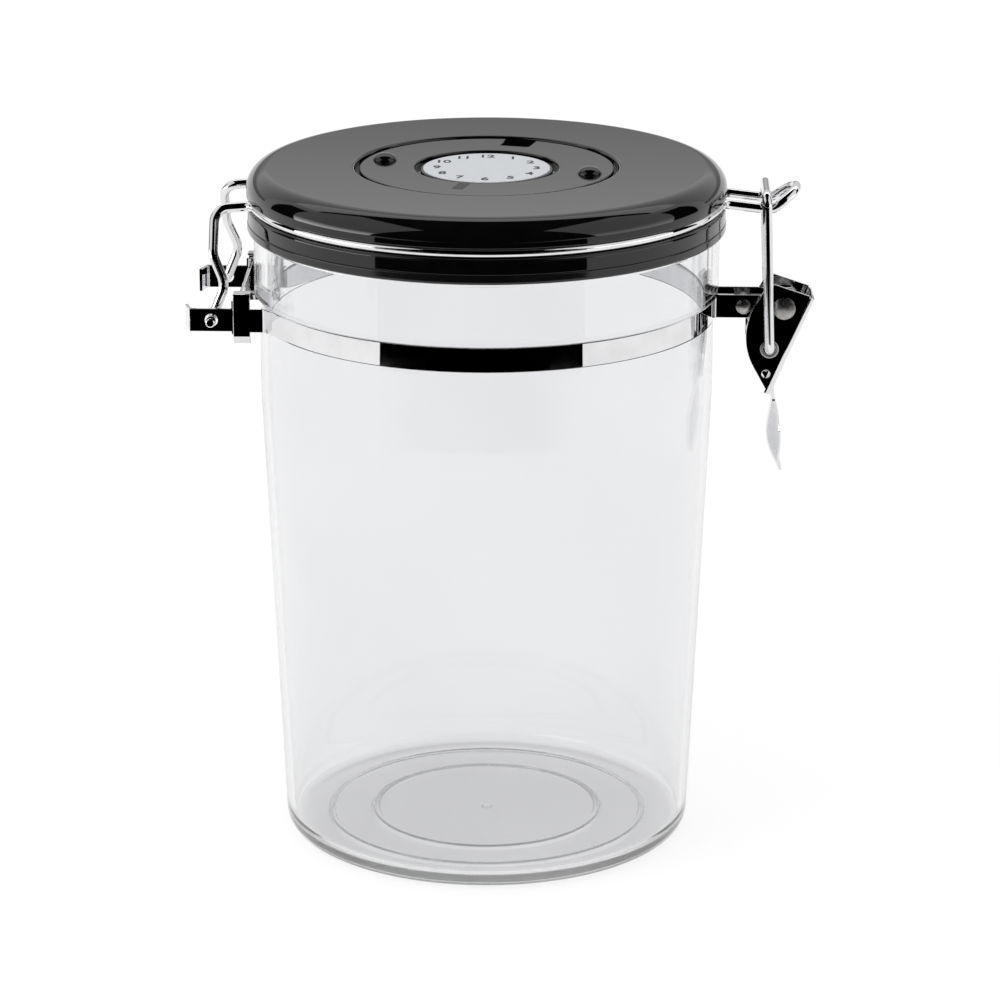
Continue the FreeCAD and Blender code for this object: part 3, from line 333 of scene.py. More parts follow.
def plate(outline, holes, half_sheet, ease):
    """A flat sheet in its own plane, cut to the outline without the holes, with eased edges.

    It is filled as a flat curve and read back as a mesh: the third coordinate runs through its thickness.
    """
    curve = bpy.data.curves.new("cut_line", "CURVE")
    curve.dimensions = "2D"
    curve.fill_mode = "BOTH"
    curve.extrude = half_sheet - ease
    curve.bevel_depth = ease
    curve.bevel_resolution = 2
    curve.offset = -ease
    for loop in [outline, *holes]:
        spline = curve.splines.new("POLY")
        spline.points.add(len(loop) - 1)
        spline.points.foreach_set("co", np.c_[loop, np.zeros(len(loop)), np.ones(len(loop))].ravel())
        spline.use_cyclic_u = True
    return read_back(curve)


def read_back(curve):
    """The mesh of a flat curve or of a text, as vertices and faces."""
    holder = bpy.data.objects.new("cut_line", curve)
    bpy.context.collection.objects.link(holder)
    bpy.context.view_layer.update()
    mesh = bpy.data.meshes.new_from_object(holder.evaluated_get(bpy.context.evaluated_depsgraph_get()))
    vertices = np.empty(len(mesh.vertices) * 3)
    mesh.vertices.foreach_get("co", vertices)
    faces = [list(polygon.vertices) for polygon in mesh.polygons]
    bpy.data.objects.remove(holder)
    bpy.data.meshes.remove(mesh)
    return vertices.reshape(-1, 3), faces


def disc(x, y, radius, count=64):
    """A circle's outline."""
    a = np.linspace(0, 2 * np.pi, count, endpoint=False)
    return np.stack([x + radius * np.cos(a), y + radius * np.sin(a)], axis=1)


def upright(shape, y):
    """A plate's plane (u, v) stood up as (x, z), with its thickness along Y about y."""
    vertices, faces = shape
    u, v, w = vertices.T
    return np.stack([u, y + w, v], axis=1), faces


def mirrored(shape):
    """The same shape on the other side of the XZ plane, its faces still outwards."""
    vertices, faces = shape
    return vertices * (1, -1, 1), [list(face)[::-1] for face in faces]


def piece(name, shape, body, slot, material, *replaced):
    """Puts a shape into a mesh in the frame, closes its seams and poles, and makes it ride on its body.

    Faces square to an axis are shaded flat, the others smooth up to a bend of 40 degrees.
    """
    vertices, faces = shape
    mesh = bpy.data.meshes.new(name)
    placed = (np.asarray(vertices, float) + (AXIS, 0, 0)) * MM
    mesh.from_pydata(placed, [], [[int(i) for i in face] for face in faces])
    work = bmesh.new()
    work.from_mesh(mesh)
    bmesh.ops.remove_doubles(work, verts=work.verts, dist=2e-6)
    bmesh.ops.dissolve_degenerate(work, edges=work.edges, dist=1e-7)
    bmesh.ops.recalc_face_normals(work, faces=work.faces)
    work.to_mesh(mesh)
    work.free()
    mesh.shade_smooth()
    mesh.set_sharp_from_angle(angle=math.radians(40))
    normals = np.empty(len(mesh.polygons) * 3)
    mesh.polygons.foreach_get("normal", normals)
    level = np.abs(normals.reshape(-1, 3)).max(axis=1) > 0.99999
    mesh.polygons.foreach_set("use_smooth", ~level)
    thing = bpy.data.objects.new(name, mesh)
    bpy.context.collection.objects.link(thing)
    mesh.materials.append(material)
    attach(thing, body)
    if replaced:
        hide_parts(*replaced)
    return thing


# Finishes

def finish_nodes(name, **values):
    """A new material with its shader's own values set, and its node tree."""
    material = bpy.data.materials.new(name)
    material.use_nodes = True
    shader = material.node_tree.nodes["Principled BSDF"]
    for socket, value in values.items():
        shader.inputs[socket.replace("_", " ")].default_value = value
    return material, material.node_tree, shader


def noise(tree, scale, detail=4.0, stretch=(1, 1, 1)):
    """A cloud pattern on the piece's own coordinates, stretched along an axis where wanted."""
    place = tree.nodes.new("ShaderNodeTexCoord")
    mapping = tree.nodes.new("ShaderNodeMapping")
    mapping.inputs["Scale"].default_value = stretch
    cloud = tree.nodes.new("ShaderNodeTexNoise")
    cloud.inputs["Scale"].default_value = scale
    cloud.inputs["Detail"].default_value = detail
    tree.links.new(place.outputs["Object"], mapping.inputs["Vector"])
    tree.links.new(mapping.outputs["Vector"], cloud.inputs["Vector"])
    return cloud.outputs["Fac"]


def vary_roughness(tree, shader, pattern, low, high):
    """Roughness between two values by the pattern."""
    span = tree.nodes.new("ShaderNodeMapRange")
    span.inputs["From Min"].default_value = 0.3
    span.inputs["From Max"].default_value = 0.7
    span.inputs["To Min"].default_value = low
    span.inputs["To Max"].default_value = high
    tree.links.new(pattern, span.inputs["Value"])
    tree.links.new(span.outputs["Result"], shader.inputs["Roughness"])


def vary_colour(tree, shader, pattern, first, second):
    """Base colour between two colours by the pattern."""
    ramp = tree.nodes.new("ShaderNodeValToRGB")
    ramp.color_ramp.elements[0].position = 0.35
    ramp.color_ramp.elements[1].position = 0.65
    ramp.color_ramp.elements[0].color = (*first, 1)
    ramp.color_ramp.elements[1].color = (*second, 1)
    tree.links.new(pattern, ramp.inputs["Fac"])
    tree.links.new(ramp.outputs["Color"], shader.inputs["Base Color"])


def add_bump(tree, shader, pattern, strength, depth):
    """A relief of the pattern, its depth in metres."""
    bump = tree.nodes.new("ShaderNodeBump")
    bump.inputs["Strength"].default_value = strength
    bump.inputs["Distance"].default_value = depth
    tree.links.new(pattern, bump.inputs["Height"])
    tree.links.new(bump.outputs["Normal"], shader.inputs["Normal"])


def clear_plastic():
    """Moulded clear plastic: colourless with a cold edge, a faint flow in its surface."""
    material, tree, shader = finish_nodes("clear_plastic", Transmission_Weight=1.0, IOR=1.46)
    vary_colour(tree, shader, noise(tree, 18, 2), (0.875, 0.877, 0.886), (0.895, 0.897, 0.905))
    vary_roughness(tree, shader, noise(tree, 60, 3), 0.0, 0.035)
    add_bump(tree, shader, noise(tree, 35, 1, (1, 1, 0.4)), 0.02, 0.0004)
    frost_low(tree, shader, full=0.0014, none=0.0022, roughness=0.4)
    return material


def frost_low(tree, shader, full, none, roughness):
    """A frosted underside: at least the roughness below the full height, easing out to the other one."""
    place = tree.nodes.new("ShaderNodeTexCoord")
    split = tree.nodes.new("ShaderNodeSeparateXYZ")
    fade = tree.nodes.new("ShaderNodeMapRange")
    fade.inputs["From Min"].default_value = full
    fade.inputs["From Max"].default_value = none
    fade.inputs["To Min"].default_value = roughness
    fade.inputs["To Max"].default_value = 0.0
    most = tree.nodes.new("ShaderNodeMath")
    most.operation = "MAXIMUM"
    polish = shader.inputs["Roughness"].links[0].from_socket
    tree.links.new(place.outputs["Object"], split.inputs[0])
    tree.links.new(split.outputs["Z"], fade.inputs["Value"])
    tree.links.new(polish, most.inputs[0])
    tree.links.new(fade.outputs["Result"], most.inputs[1])
    tree.links.new(most.outputs[0], shader.inputs["Roughness"])


def black_gloss(name, grey, low, high):
    """Polished black plastic with a faint haze and the slight orange peel of moulding."""
    material, tree, shader = finish_nodes(name, IOR=1.5)
    light = grey * 1.5
    vary_colour(tree, shader, noise(tree, 240, 5), (grey, grey, grey * 1.04), (light, light, light))
    vary_roughness(tree, shader, noise(tree, 90, 4), low, high)
    add_bump(tree, shader, noise(tree, 420, 2), 0.03, 0.00004)
    return material


def bright_steel():
    """Bright plated steel with fine drawing lines and a little cloud."""
    material, tree, shader = finish_nodes("bright_steel", Metallic=1.0)
    vary_colour(tree, shader, noise(tree, 150, 4), (0.71, 0.71, 0.72), (0.78, 0.78, 0.79))
    vary_roughness(tree, shader, noise(tree, 260, 3), 0.012, 0.035)
    add_bump(tree, shader, noise(tree, 700, 2, (0.2, 0.2, 1)), 0.04, 0.00002)
    return material


def rivet_steel():
    """Tumbled satin steel, pitted and a little stained."""
    material, tree, shader = finish_nodes("rivet_steel", Metallic=1.0)
    vary_colour(tree, shader, noise(tree, 900, 6), (0.32, 0.31, 0.30), (0.44, 0.43, 0.42))
    vary_roughness(tree, shader, noise(tree, 1200, 4), 0.24, 0.36)
    add_bump(tree, shader, noise(tree, 2200, 4), 0.12, 0.00005)
    return material


def matt(name, first, second, roughness, grain, depth):
    """A matt finish with a grain: rubber, printed face, ink, silicone or felt."""
    material, tree, shader = finish_nodes(name)
    vary_colour(tree, shader, noise(tree, grain, 4), first, second)
    vary_roughness(tree, shader, noise(tree, grain * 0.5, 3), roughness - 0.06, roughness + 0.06)
    add_bump(tree, shader, noise(tree, grain * 2, 3), 0.1, depth)
    return material


CLEAR = clear_plastic()
BLACK = black_gloss("black_gloss", 0.002, 0.02, 0.06)
CHROME = bright_steel()
SATIN = rivet_steel()
SEAL = black_gloss("seal_rubber", 0.004, 0.10, 0.18)
WHITE = matt("dial_white", (0.635, 0.655, 0.685), (0.665, 0.685, 0.715), 0.42, 900, 0.00001)
INK = matt("dial_ink", (0.015, 0.015, 0.017), (0.03, 0.03, 0.032), 0.55, 900, 0.00002)
MARK = matt("date_mark", (0.035, 0.035, 0.036), (0.055, 0.055, 0.056), 0.6, 1200, 0.00002)
SILICONE = matt("valve_silicone", (0.70, 0.70, 0.69), (0.77, 0.77, 0.76), 0.5, 400, 0.00003)
FELT = matt("filter_felt", (0.66, 0.66, 0.63), (0.80, 0.80, 0.77), 0.9, 1500, 0.0002)


# The jar

def bead(outer, width):
    """Corners of a low rounded ring on the jar's floor, from its outer side inwards."""
    top, slope = JAR_FLOOR + 0.4, 0.35
    return [
        (outer, JAR_FLOOR, 0.2), (outer - slope, top, 0.25), (outer - width + slope, top, 0.25),
        (outer - width, JAR_FLOOR, 0.2)]


piece("clear_jar", lathe([
    (0, 0.7, 0), (1.3, 0.7, 0.25), (1.3, 1.3, 0.2), (30.2, 1.3, 0.4), (31.8, 0.8, 0.4), (42.2, 0.8, 0.5),
    (43.6, 0, 0.5), (FOOT_OUTER, 0, 4.5), (WALL_OUTER, WALL_BEND, 60), (WALL_OUTER, SEAT_LOW, 0.15),
    (SEAT_OUTER, SEAT_LOW, 0.15), (SEAT_OUTER, COLLAR_LOW, 0.2), (COLLAR_OUTER, COLLAR_LOW, 0.7),
    (COLLAR_OUTER, RIM, 0.7), (WALL_INNER, RIM, 0.7), (WALL_INNER, WALL_BEND, 60),
    (FLOOR_INNER, JAR_FLOOR, 3.0), *bead(43.3, 1.7), *bead(31.2, 1.9), (0, JAR_FLOOR, 0),
], sides=256, closed=False), "canister", "clear_plastic", CLEAR, "jar")


# The clamp band and the hinge bracket

def band_path():
    """Half band in plan: crimp run, bend, tangent run, arc about the jar, bend, ear run."""
    first = np.array([-CRIMP_BEND, -CRIMP_LINE - EAR_BEND])
    reach = np.linalg.norm(first)
    turn = math.atan2(first[0], first[1]) + math.acos(-(BAND_LINE + EAR_BEND) / reach)
    out = np.array([math.sin(turn), math.cos(turn)])
    whole = BAND_LINE + EAR_BEND
    second = np.array([math.sqrt(whole ** 2 - (EAR_LINE + EAR_BEND) ** 2), -EAR_LINE - EAR_BEND])
    contact = -out * BAND_LINE
    start = math.atan2(contact[1], contact[0])
    end = math.atan2(second[1], second[0])
    a = np.linspace(start, end, 120)
    around = BAND_LINE * np.stack([np.cos(a), np.sin(a)], axis=1)
    k = np.linspace(0, turn, 8)
    bend_one = first + EAR_BEND * np.stack([np.sin(k), np.cos(k)], axis=1)
    facing = math.atan2(-second[1], -second[0])
    k = np.linspace(facing, math.pi / 2, 8)
    bend_two = second + EAR_BEND * np.stack([np.cos(k), np.sin(k)], axis=1)
    run = np.array([[-CRIMP_FAR + 0.3, -CRIMP_LINE]])
    chamfer = EAR_END - EAR_CHAMFER
    ear = np.array([[x, -EAR_LINE] for x in (chamfer - 0.02, chamfer, EAR_END - 0.02, EAR_END)])
    return np.concatenate([run, bend_one, around, bend_two, ear])


def half_band():
    """The strip with its chamfered ear, and the crimp plate: a bent sheet's section carried along X."""
    path = band_path()
    tall = np.full(len(path), BAND_HALF_HEIGHT)
    tall[-2:] -= EAR_CHAMFER
    band = strip(path, BAND_HALF_SHEET, BAND_MIDDLE - tall, BAND_MIDDLE + tall)
    face, back = -CRIMP_LINE - BAND_HALF_SHEET, -CRIMP_LINE + BAND_HALF_SHEET
    sheet = 2 * BAND_HALF_SHEET
    section = rounded([
        (back, CRIMP_TOP - sheet, 0.3), (back + CRIMP_FOLD, CRIMP_TOP - sheet, 0.1),
        (back + CRIMP_FOLD, CRIMP_TOP, 0.1), (face, CRIMP_TOP, 0.8), (face, CRIMP_LOW + CRIMP_SLANT, 0.8),
        (face + CRIMP_SLANT, CRIMP_LOW, 0.1), (face + CRIMP_SLANT + sheet, CRIMP_LOW + sheet / 2, 0.1),
        (back, CRIMP_LOW + CRIMP_SLANT + sheet / 2, 0.3),
    ], steps=6, closed=True)
    crimp = plate(section, [], (CRIMP_FAR - CRIMP_NEAR) / 2, 0.2)
    y, z, x = crimp[0].T
    return band, (np.stack([x - (CRIMP_FAR + CRIMP_NEAR) / 2, y, z], axis=1), crimp[1])


band, crimp = half_band()
piece("band_front_half", joined(band, crimp), "canister", "bright_steel", CHROME, "band_front")
piece("band_rear_half", joined(mirrored(band), mirrored(crimp)), "canister", "bright_steel", CHROME,
      "band_rear")


def bracket():
    """Two cut ears with pin holes, the web and roots between them, and the slanting stops at their ends."""
    middle_line = BRACKET_HALF - BRACKET_SHEET / 2
    low, high = BAND_MIDDLE - HINGE_EAR_HALF, BAND_MIDDLE + HINGE_EAR_HALF
    outline = np.array([(-STOP_CORNER, low), (-EAR_START, low), (-EAR_START, high), (-STOP_CORNER, high)])
    ear = plate(outline, [disc(-HINGE_PLACE, BAND_MIDDLE, WIRE / 2 + PIN_PLAY)], BRACKET_SHEET / 2, 0.1)
    front = upright(ear, -middle_line)
    web_line = WEB_PLACE + BRACKET_SHEET / 2
    plan = rounded([
        (-ROOT_END, -middle_line, 0), (-web_line, -middle_line, WEB_BEND), (-web_line, middle_line, WEB_BEND),
        (-ROOT_END, middle_line, 0)], steps=8)
    web = strip(plan, BRACKET_SHEET / 2, BRACKET_LOW, BRACKET_TOP)
    tip = BRACKET_HALF - STOP_INSET
    stop_plan = rounded([
        (-STOP_CORNER + 1.8, -middle_line, 0), (-STOP_CORNER + 0.3, -middle_line, 1.0),
        (-STOP_TIP + BRACKET_SHEET / 2, -tip, 0)], steps=8)
    stop = strip(stop_plan, BRACKET_SHEET / 2, low, high)
    return joined(front, mirrored(front), web, stop, mirrored(stop))


piece("hinge_bracket_sheet", bracket(), "canister", "bright_steel", CHROME, "hinge_bracket")


def rivet(place, grip, shank, head, rise):
    """A shank with a dome at each end, a lathe's profile laid across the latch.

    The dome is a cap of a sphere over a short straight edge: its radius is (head^2 + cap^2) / (2 cap).
    """
    edge = 0.25
    cap = rise - edge
    sphere = (head ** 2 + cap ** 2) / (2 * cap)
    reach = math.asin(head / sphere)
    k = np.linspace(reach, 0, 12)
    dome = [(sphere * math.sin(a), grip + rise - sphere * (1 - math.cos(a)), 0) for a in k]
    half = [(shank, 0, 0), (shank, grip, 0.05), (head, grip, 0.08), *dome]
    profile = [(r, -h, ease) for r, h, ease in half[:0:-1]] + half
    return crosswise(lathe(profile, sides=64, steps=6, closed=False), place, BAND_MIDDLE)


large = rivet(PIVOT_PLACE, grip=LEVER_HALF + 0.1, shank=1.6, head=2.95, rise=0.8)
small = rivet(SPACER_PLACE, grip=EAR_LINE + BAND_HALF_SHEET, shank=1.2, head=2.0, rise=0.8)
piece("lever_rivet", large, "canister", "rivet_steel", SATIN, "lever_pivot")
piece("small_rivet", small, "canister", "rivet_steel", SATIN, "ear_rivet")


# The lid

piece("seal_ring", lathe([
    (SEAL_INNER, RIM, 0.2), (SEAL_OUTER, RIM, 0.8), (SEAL_OUTER, SKIRT_LOW, 0.3), (SEAL_LEDGE, SKIRT_LOW, 0.05),
    (SEAL_LEDGE, SEAL_TOP, 0.1), (SEAL_INNER, SEAL_TOP, 0.2),
]), "lid", "seal_rubber", SEAL, "seal")
piece("lower_lid", lathe([
    (LID_BORE, LID_PLATE_LOW, 0.2), (PLUG_INNER, LID_PLATE_LOW, 0.4), (PLUG_INNER, PLUG_LOW, 0.4),
    (PLUG_OUTER, PLUG_LOW, 0.9), (PLUG_OUTER, SKIRT_TOP, 0.2), (SKIRT_INNER, SKIRT_TOP, 0.05),
    (SKIRT_INNER, SKIRT_LOW, 0.05), (FLANGE_OUTER, SKIRT_LOW, 0.25), (FLANGE_OUTER, FLANGE_TOP, 0.9),
    (GROOVE_WALL, FLANGE_TOP, 0.3), (GROOVE_WALL, CAP_LOW, 0.1), (GROOVE_RING_INNER, CAP_LOW, 0.2),
    (GROOVE_RING_INNER, LID_PLATE_TOP, 0.4), (LID_BORE, LID_PLATE_TOP, 0.2),
]), "lid", "black_gloss", BLACK, "lid_base")
piece("upper_lid", lathe([
    (STEM_BORE, RECESS_UNDER, 0.1), (36.4, RECESS_UNDER, 0.3), (36.4, CAP_UNDER, 0.3), (55.1, CAP_UNDER, 0.4),
    (GROOVE_RING_INNER, CAP_LOW, 0.2), (62.0, CAP_LOW, 0.1), (62.4, CAP_LIP, 0.1), (CAP_OUTER, CAP_LIP, 0.3),
    (CAP_OUTER, LID_TOP, CAP_ROUND), (RECESS_OUTER, LID_TOP, 0.9), (RECESS_OUTER, RECESS_FLOOR, 0.2),
    (BOSS_RADIUS, RECESS_FLOOR, 0.2), (BOSS_RADIUS, BOSS_TOP, 0.2), (STEM_BORE, BOSS_TOP, 0.1),
], sides=256, steps=12), "lid", "black_gloss", BLACK, "lid_cap")
piece("dial_middle", lathe([
    (0, STEM_LOW, 0), (STEM_RADIUS, STEM_LOW, 0.3), (STEM_RADIUS, BOSS_TOP, 0.1), (HUB_RADIUS, BOSS_TOP, 0.1),
    (HUB_RADIUS, HUB_TOP, 0.4), (FACE_SEAT, HUB_TOP, 0.05), (FACE_SEAT, FACE_LOW, 0.05), (0, FACE_LOW, 0),
], closed=False), "lid", "black_gloss", BLACK, "dial_hub")
piece("dial_plate", lathe([
    (0, FACE_LOW, 0), (FACE_RADIUS, FACE_LOW, 0.1), (FACE_RADIUS, FACE_TOP, 0.25), (0, FACE_TOP, 0),
], closed=False), "lid", "dial_white", WHITE, "dial_face")


def numbers():
    """The twelve hours as thin type: each is read back as a mesh, centred, and set on a circle of the face."""
    size, circle, stand = 4.3, 13.1, 0.04
    shapes = []
    for hour in range(1, 13):
        text = bpy.data.curves.new("hour", "FONT")
        text.body = str(hour)
        text.size = size
        text.extrude = stand
        text.offset = 0.085
        vertices, faces = read_back(text)
        middle = (vertices.min(axis=0) + vertices.max(axis=0)) / 2
        angle = math.pi / 2 - hour * math.pi / 6
        place = np.array([circle * math.cos(angle), circle * math.sin(angle), FACE_TOP])
        shapes.append((vertices - middle * (1, 1, 0) + place, faces))
    return joined(*shapes)


piece("dial_numbers", numbers(), "lid", "black_gloss", INK)


def turned(shape):
    """A shape of the date ring at the ring's resting turn."""
    c, s = math.cos(RING_TURN), math.sin(RING_TURN)
    x, y, z = shape[0].T
    return np.stack([c * x - s * y, s * x + c * y, z], axis=1), shape[1]


def turn_ring():
    """The date ring's plate with its notched window, a low inner lip, and two domed knobs.

    The plate's outline is a circle broken by the notch; a knob is a lathe's shape moved to its place.
    """
    gap = math.asin(WINDOW_HALF / RING_OUTER)
    a = np.linspace(math.pi / 2 + gap, 5 * math.pi / 2 - gap, 192)
    rim = RING_OUTER * np.stack([np.cos(a), np.sin(a)], axis=1)
    notch = rounded([
        (WINDOW_HALF, RING_OUTER, 0), (WINDOW_HALF, WINDOW_NEAR, 0.6), (-WINDOW_HALF, WINDOW_NEAR, 0.6),
        (-WINDOW_HALF, RING_OUTER, 0)], 6)[1:-1]
    outline = np.concatenate([rim, notch])
    flat = plate(outline, [disc(0, 0, RING_INNER, 160)], (RING_TOP - RING_LOW) / 2, 0.4)
    flat = (flat[0] + (0, 0, (RING_TOP + RING_LOW) / 2), flat[1])
    lip_outer, lip_top = RING_INNER + 0.5, RING_LOW + RING_LIP_TALL
    lip = lathe([
        (RING_LIP_INNER, RING_LOW, 0.1), (lip_outer, RING_LOW, 0.05), (lip_outer, lip_top, 0.05),
        (RING_LIP_INNER, lip_top, 0.1)], steps=3)
    k = np.linspace(0, math.pi / 2, 14)
    dome = [(KNOB_RADIUS, RING_TOP - KNOB_SUNK, 0)]
    dome += [(KNOB_RADIUS * math.cos(a), RING_TOP + KNOB_RISE * math.sin(a), 0) for a in k]
    knob = lathe([(0, RING_TOP - KNOB_SUNK, 0)] + dome, sides=64, closed=False)
    knobs = [(knob[0] + (side * KNOB_PLACE, 0, 0), knob[1]) for side in (1, -1)]
    return turned(joined(flat, lip, *knobs))


def ring_mark():
    """The mark: a low matt bar let into the ring at the side away from the window."""
    bar = plate(rounded([
        (-MARK_HALF, -MARK_FAR, 0.2), (MARK_HALF, -MARK_FAR, 0.2), (MARK_HALF, -MARK_NEAR, 0.2),
        (-MARK_HALF, -MARK_NEAR, 0.2)], 4, True), [], 0.4, 0.05)
    return turned((bar[0] + (0, 0, RING_TOP - 0.35), bar[1]))


piece("date_ring_plate", turn_ring(), "date_ring", "black_gloss", BLACK, "turn_ring")
piece("date_mark_bar", ring_mark(), "date_ring", "black_gloss", MARK)


# The bail

def on_groove(angle):
    """Points of the wire's circle in the lid's groove."""
    angle = np.atleast_1d(angle)
    level = np.full(len(angle), GROOVE_LEVEL)
    return np.stack([GROOVE_LINE * np.cos(angle), GROOVE_LINE * np.sin(angle), level], axis=1)


def tangent_meets(angle, spread, direction):
    """Where the groove's tangent at the angle reaches Y = -spread."""
    start = on_groove(angle)[0]
    run = np.array([-math.sin(angle), math.cos(angle), 0]) * direction
    return start + run * ((-spread - start[1]) / run[1])


def bail_path():
    """Pin, cranked leg, round through the groove, hook and bow on the front side, then the same mirrored."""
    left, right = math.pi + LEG_LEAVES, 2 * math.pi - HOOK_LEAVES
    leg = rounded([
        (-HINGE_PLACE, LEG_PIN_END, BAND_MIDDLE, 0), (-HINGE_PLACE, LEG_FOOT, BAND_MIDDLE, 1.8),
        (*LEG_KNEE, 6.0), (*LEG_BULGE, 6.0), (*LEG_TOP, 4.0),
        (*tangent_meets(left, -LEG_TOP[1], -1), 3.2), (*on_groove(left)[0], 0)], steps=12)
    around = on_groove(np.linspace(left, right, 160))[1:-1]
    climb = np.array([math.cos(HOOK_SLOPE), 0, math.sin(HOOK_SLOPE)])
    crook = np.array([HOOK_CROOK[0], -HOOK_SPREAD, HOOK_CROOK[1]])
    bow_start = crook + climb * ((HOOK_END - HOOK_CROOK[0]) / math.cos(HOOK_SLOPE) - HOOK_SPREAD)
    hook = rounded([
        (*on_groove(right)[0], 0), (*tangent_meets(right, HOOK_SPREAD, 1), 3.2), (*crook, 4.0), (*bow_start, 0),
    ], steps=12)
    a = np.linspace(0, math.pi / 2, 16)[1:, None]
    centre = bow_start * (1, 0, 1)
    bow = centre + climb * HOOK_SPREAD * np.sin(a) - np.array([0, HOOK_SPREAD, 0]) * np.cos(a)
    front = np.concatenate([leg, around, hook, bow])
    return spread_along(np.concatenate([front, front[-2::-1] * (1, -1, 1)]), 1.6)


piece("bail_wire", wire(bail_path()), "lid", "bright_steel", CHROME, "bail")


# The latch

def short_of(start, corner, inward, gap):
    """Where the run from start to the corner comes within the gap of the spine's line through the corner."""
    return corner + (start - corner) * gap / ((start - corner) @ inward)


def lever_cheek(top, end, inward):
    """The front cheek, cut short of the spine's bend, with its three holes."""
    cut_top = short_of(np.array(CHEEK_TOP), top, inward, SPINE_BEND)
    cut_end = short_of(np.array(CHEEK_SIDE), end, inward, SPINE_BEND)
    outline = rounded([
        (*CHEEK_TOP, 2.6), (*CHEEK_SIDE, CHEEK_ROUND), (*cut_end, 0.1), (*cut_top, 0.1)], steps=16, closed=True)
    holes = [disc(PIVOT_PLACE, BAND_MIDDLE, PIVOT_HOLE), disc(*LINK_HOLE, LINK_BORE), disc(*SIGHT_HOLE, 40)]
    return upright(plate(outline, holes, LEVER_SHEET / 2, 0.12), -LEVER_HALF + LEVER_SHEET / 2)


def lever_spine(top, end, down, inward):
    """The spine: a section across the lever, a flat sheet whose long edges turn in, carried down its length."""
    flange = SPINE_BEND + 0.5
    inner_half, inner_bend = LEVER_HALF - LEVER_SHEET, SPINE_BEND - LEVER_SHEET
    section = rounded([
        (-LEVER_HALF, 0, SPINE_BEND), (LEVER_HALF, 0, SPINE_BEND), (LEVER_HALF, flange, 0.02),
        (inner_half, flange, 0.02), (inner_half, LEVER_SHEET, inner_bend),
        (-inner_half, LEVER_SHEET, inner_bend), (-inner_half, flange, 0.02), (-LEVER_HALF, flange, 0.02),
    ], steps=10, closed=True)
    length = np.linalg.norm(end - top)
    vertices, faces = plate(section, [], (length - 0.95) / 2, 0.15)
    y, depth, run = vertices.T
    xz = top + (run + (length + 0.15) / 2)[:, None] * down + depth[:, None] * inward
    return np.stack([xz[:, 0], y, xz[:, 1]], axis=1), faces


def thumb_tab():
    """A leaf whose half width runs from neck to tip and swells by a sine below the neck.

    Its spine bows towards the jar by another sine, and x = spine + cup - sqrt(cup^2 - y^2) curls its edges
    outwards. The outer side is the same with a cup that is larger by the sheet.
    """
    slope = (SPINE_TOP[0] - SPINE_END[0]) / (SPINE_TOP[1] - SPINE_END[1])
    high, low = SPINE_END[1] + TAB_OVERLAP, TAB_TIP[1]
    run = np.linspace(0, 1, 48)
    z = high + (low - high) * run
    below = np.clip((TAB_NECK_HEIGHT - z) / (TAB_NECK_HEIGHT - low), 0, 1)
    half_width = TAB_NECK * (1 - run) + TAB_TIP_HALF * run + TAB_SWELL * np.sin(np.pi * below) ** 0.75
    neck_place = SPINE_END[0] + slope * TAB_OVERLAP
    line = neck_place + (TAB_TIP[0] - neck_place) * run - TAB_BOW * np.sin(np.pi * below ** 1.15)
    y = half_width[:, None] * np.linspace(-1, 1, 25)
    heights = np.broadcast_to(z[:, None], y.shape)
    inner = np.stack([line[:, None] + TAB_CUP - np.sqrt(TAB_CUP ** 2 - y ** 2), y, heights], axis=-1)
    outer_cup = TAB_CUP + LEVER_SHEET
    y_out = y * outer_cup / TAB_CUP
    x_out = line[:, None] + TAB_CUP - np.sqrt(outer_cup ** 2 - y_out ** 2)
    outer = np.stack([x_out, y_out, heights], axis=-1)
    ring = np.concatenate([outer, inner[:, ::-1]], axis=1)
    middle = ring.mean(axis=1, keepdims=True)
    first = np.broadcast_to(middle[:1], (1,) + ring.shape[1:])
    last = np.broadcast_to(middle[-1:], (1,) + ring.shape[1:])
    return grid(np.concatenate([first, ring, last]), wrap_v=True)


def lever():
    """Two cut cheeks with a spine between them and a cupped leaf as thumb tab."""
    top, end = np.array(SPINE_TOP), np.array(SPINE_END)
    down = (end - top) / np.linalg.norm(end - top)
    inward = np.array([down[1], -down[0]])
    cheek = lever_cheek(top, end, inward)
    return joined(cheek, mirrored(cheek), lever_spine(top, end, down, inward), thumb_tab())


piece("latch_lever_sheet", lever(), "latch_lever", "bright_steel", CHROME, "lever")


def eyelets():
    """Raised rims round the link's holes: a rounded profile about each hole's axis."""
    face = LEVER_HALF - 0.05
    top = face + EYELET_RISE
    rim = crosswise(lathe([
        (LINK_BORE, face, 0.05), (EYELET_RADIUS, face, 0.05), (EYELET_RADIUS, top, 0.45), (LINK_BORE, top, 0.3),
    ], sides=48, steps=6), *LINK_HOLE)
    return joined(rim, mirrored(rim))


piece("link_eyelets", eyelets(), "latch_lever", "rivet_steel", SATIN)


def link_path():
    """Pin turned in through the cheek, leg and half the bar on the front side, then the same mirrored."""
    hole_x, hole_z = LINK_HOLE
    bar_x, bar_z = LINK_BAR
    front = rounded([
        (hole_x, LINK_PIN_END, hole_z, 0), (hole_x, LINK_LOW_SPREAD, hole_z, 2.0),
        (bar_x, LINK_HIGH_SPREAD, bar_z, 2.6), (bar_x, 0, bar_z, 0)], steps=10)
    return spread_along(np.concatenate([front, front[-2::-1] * (1, -1, 1)]), 1.6)


piece("latch_link_wire", wire(link_path()), "latch_link", "bright_steel", CHROME, "link")


# Finishes of the frame's own pieces, which lie inside

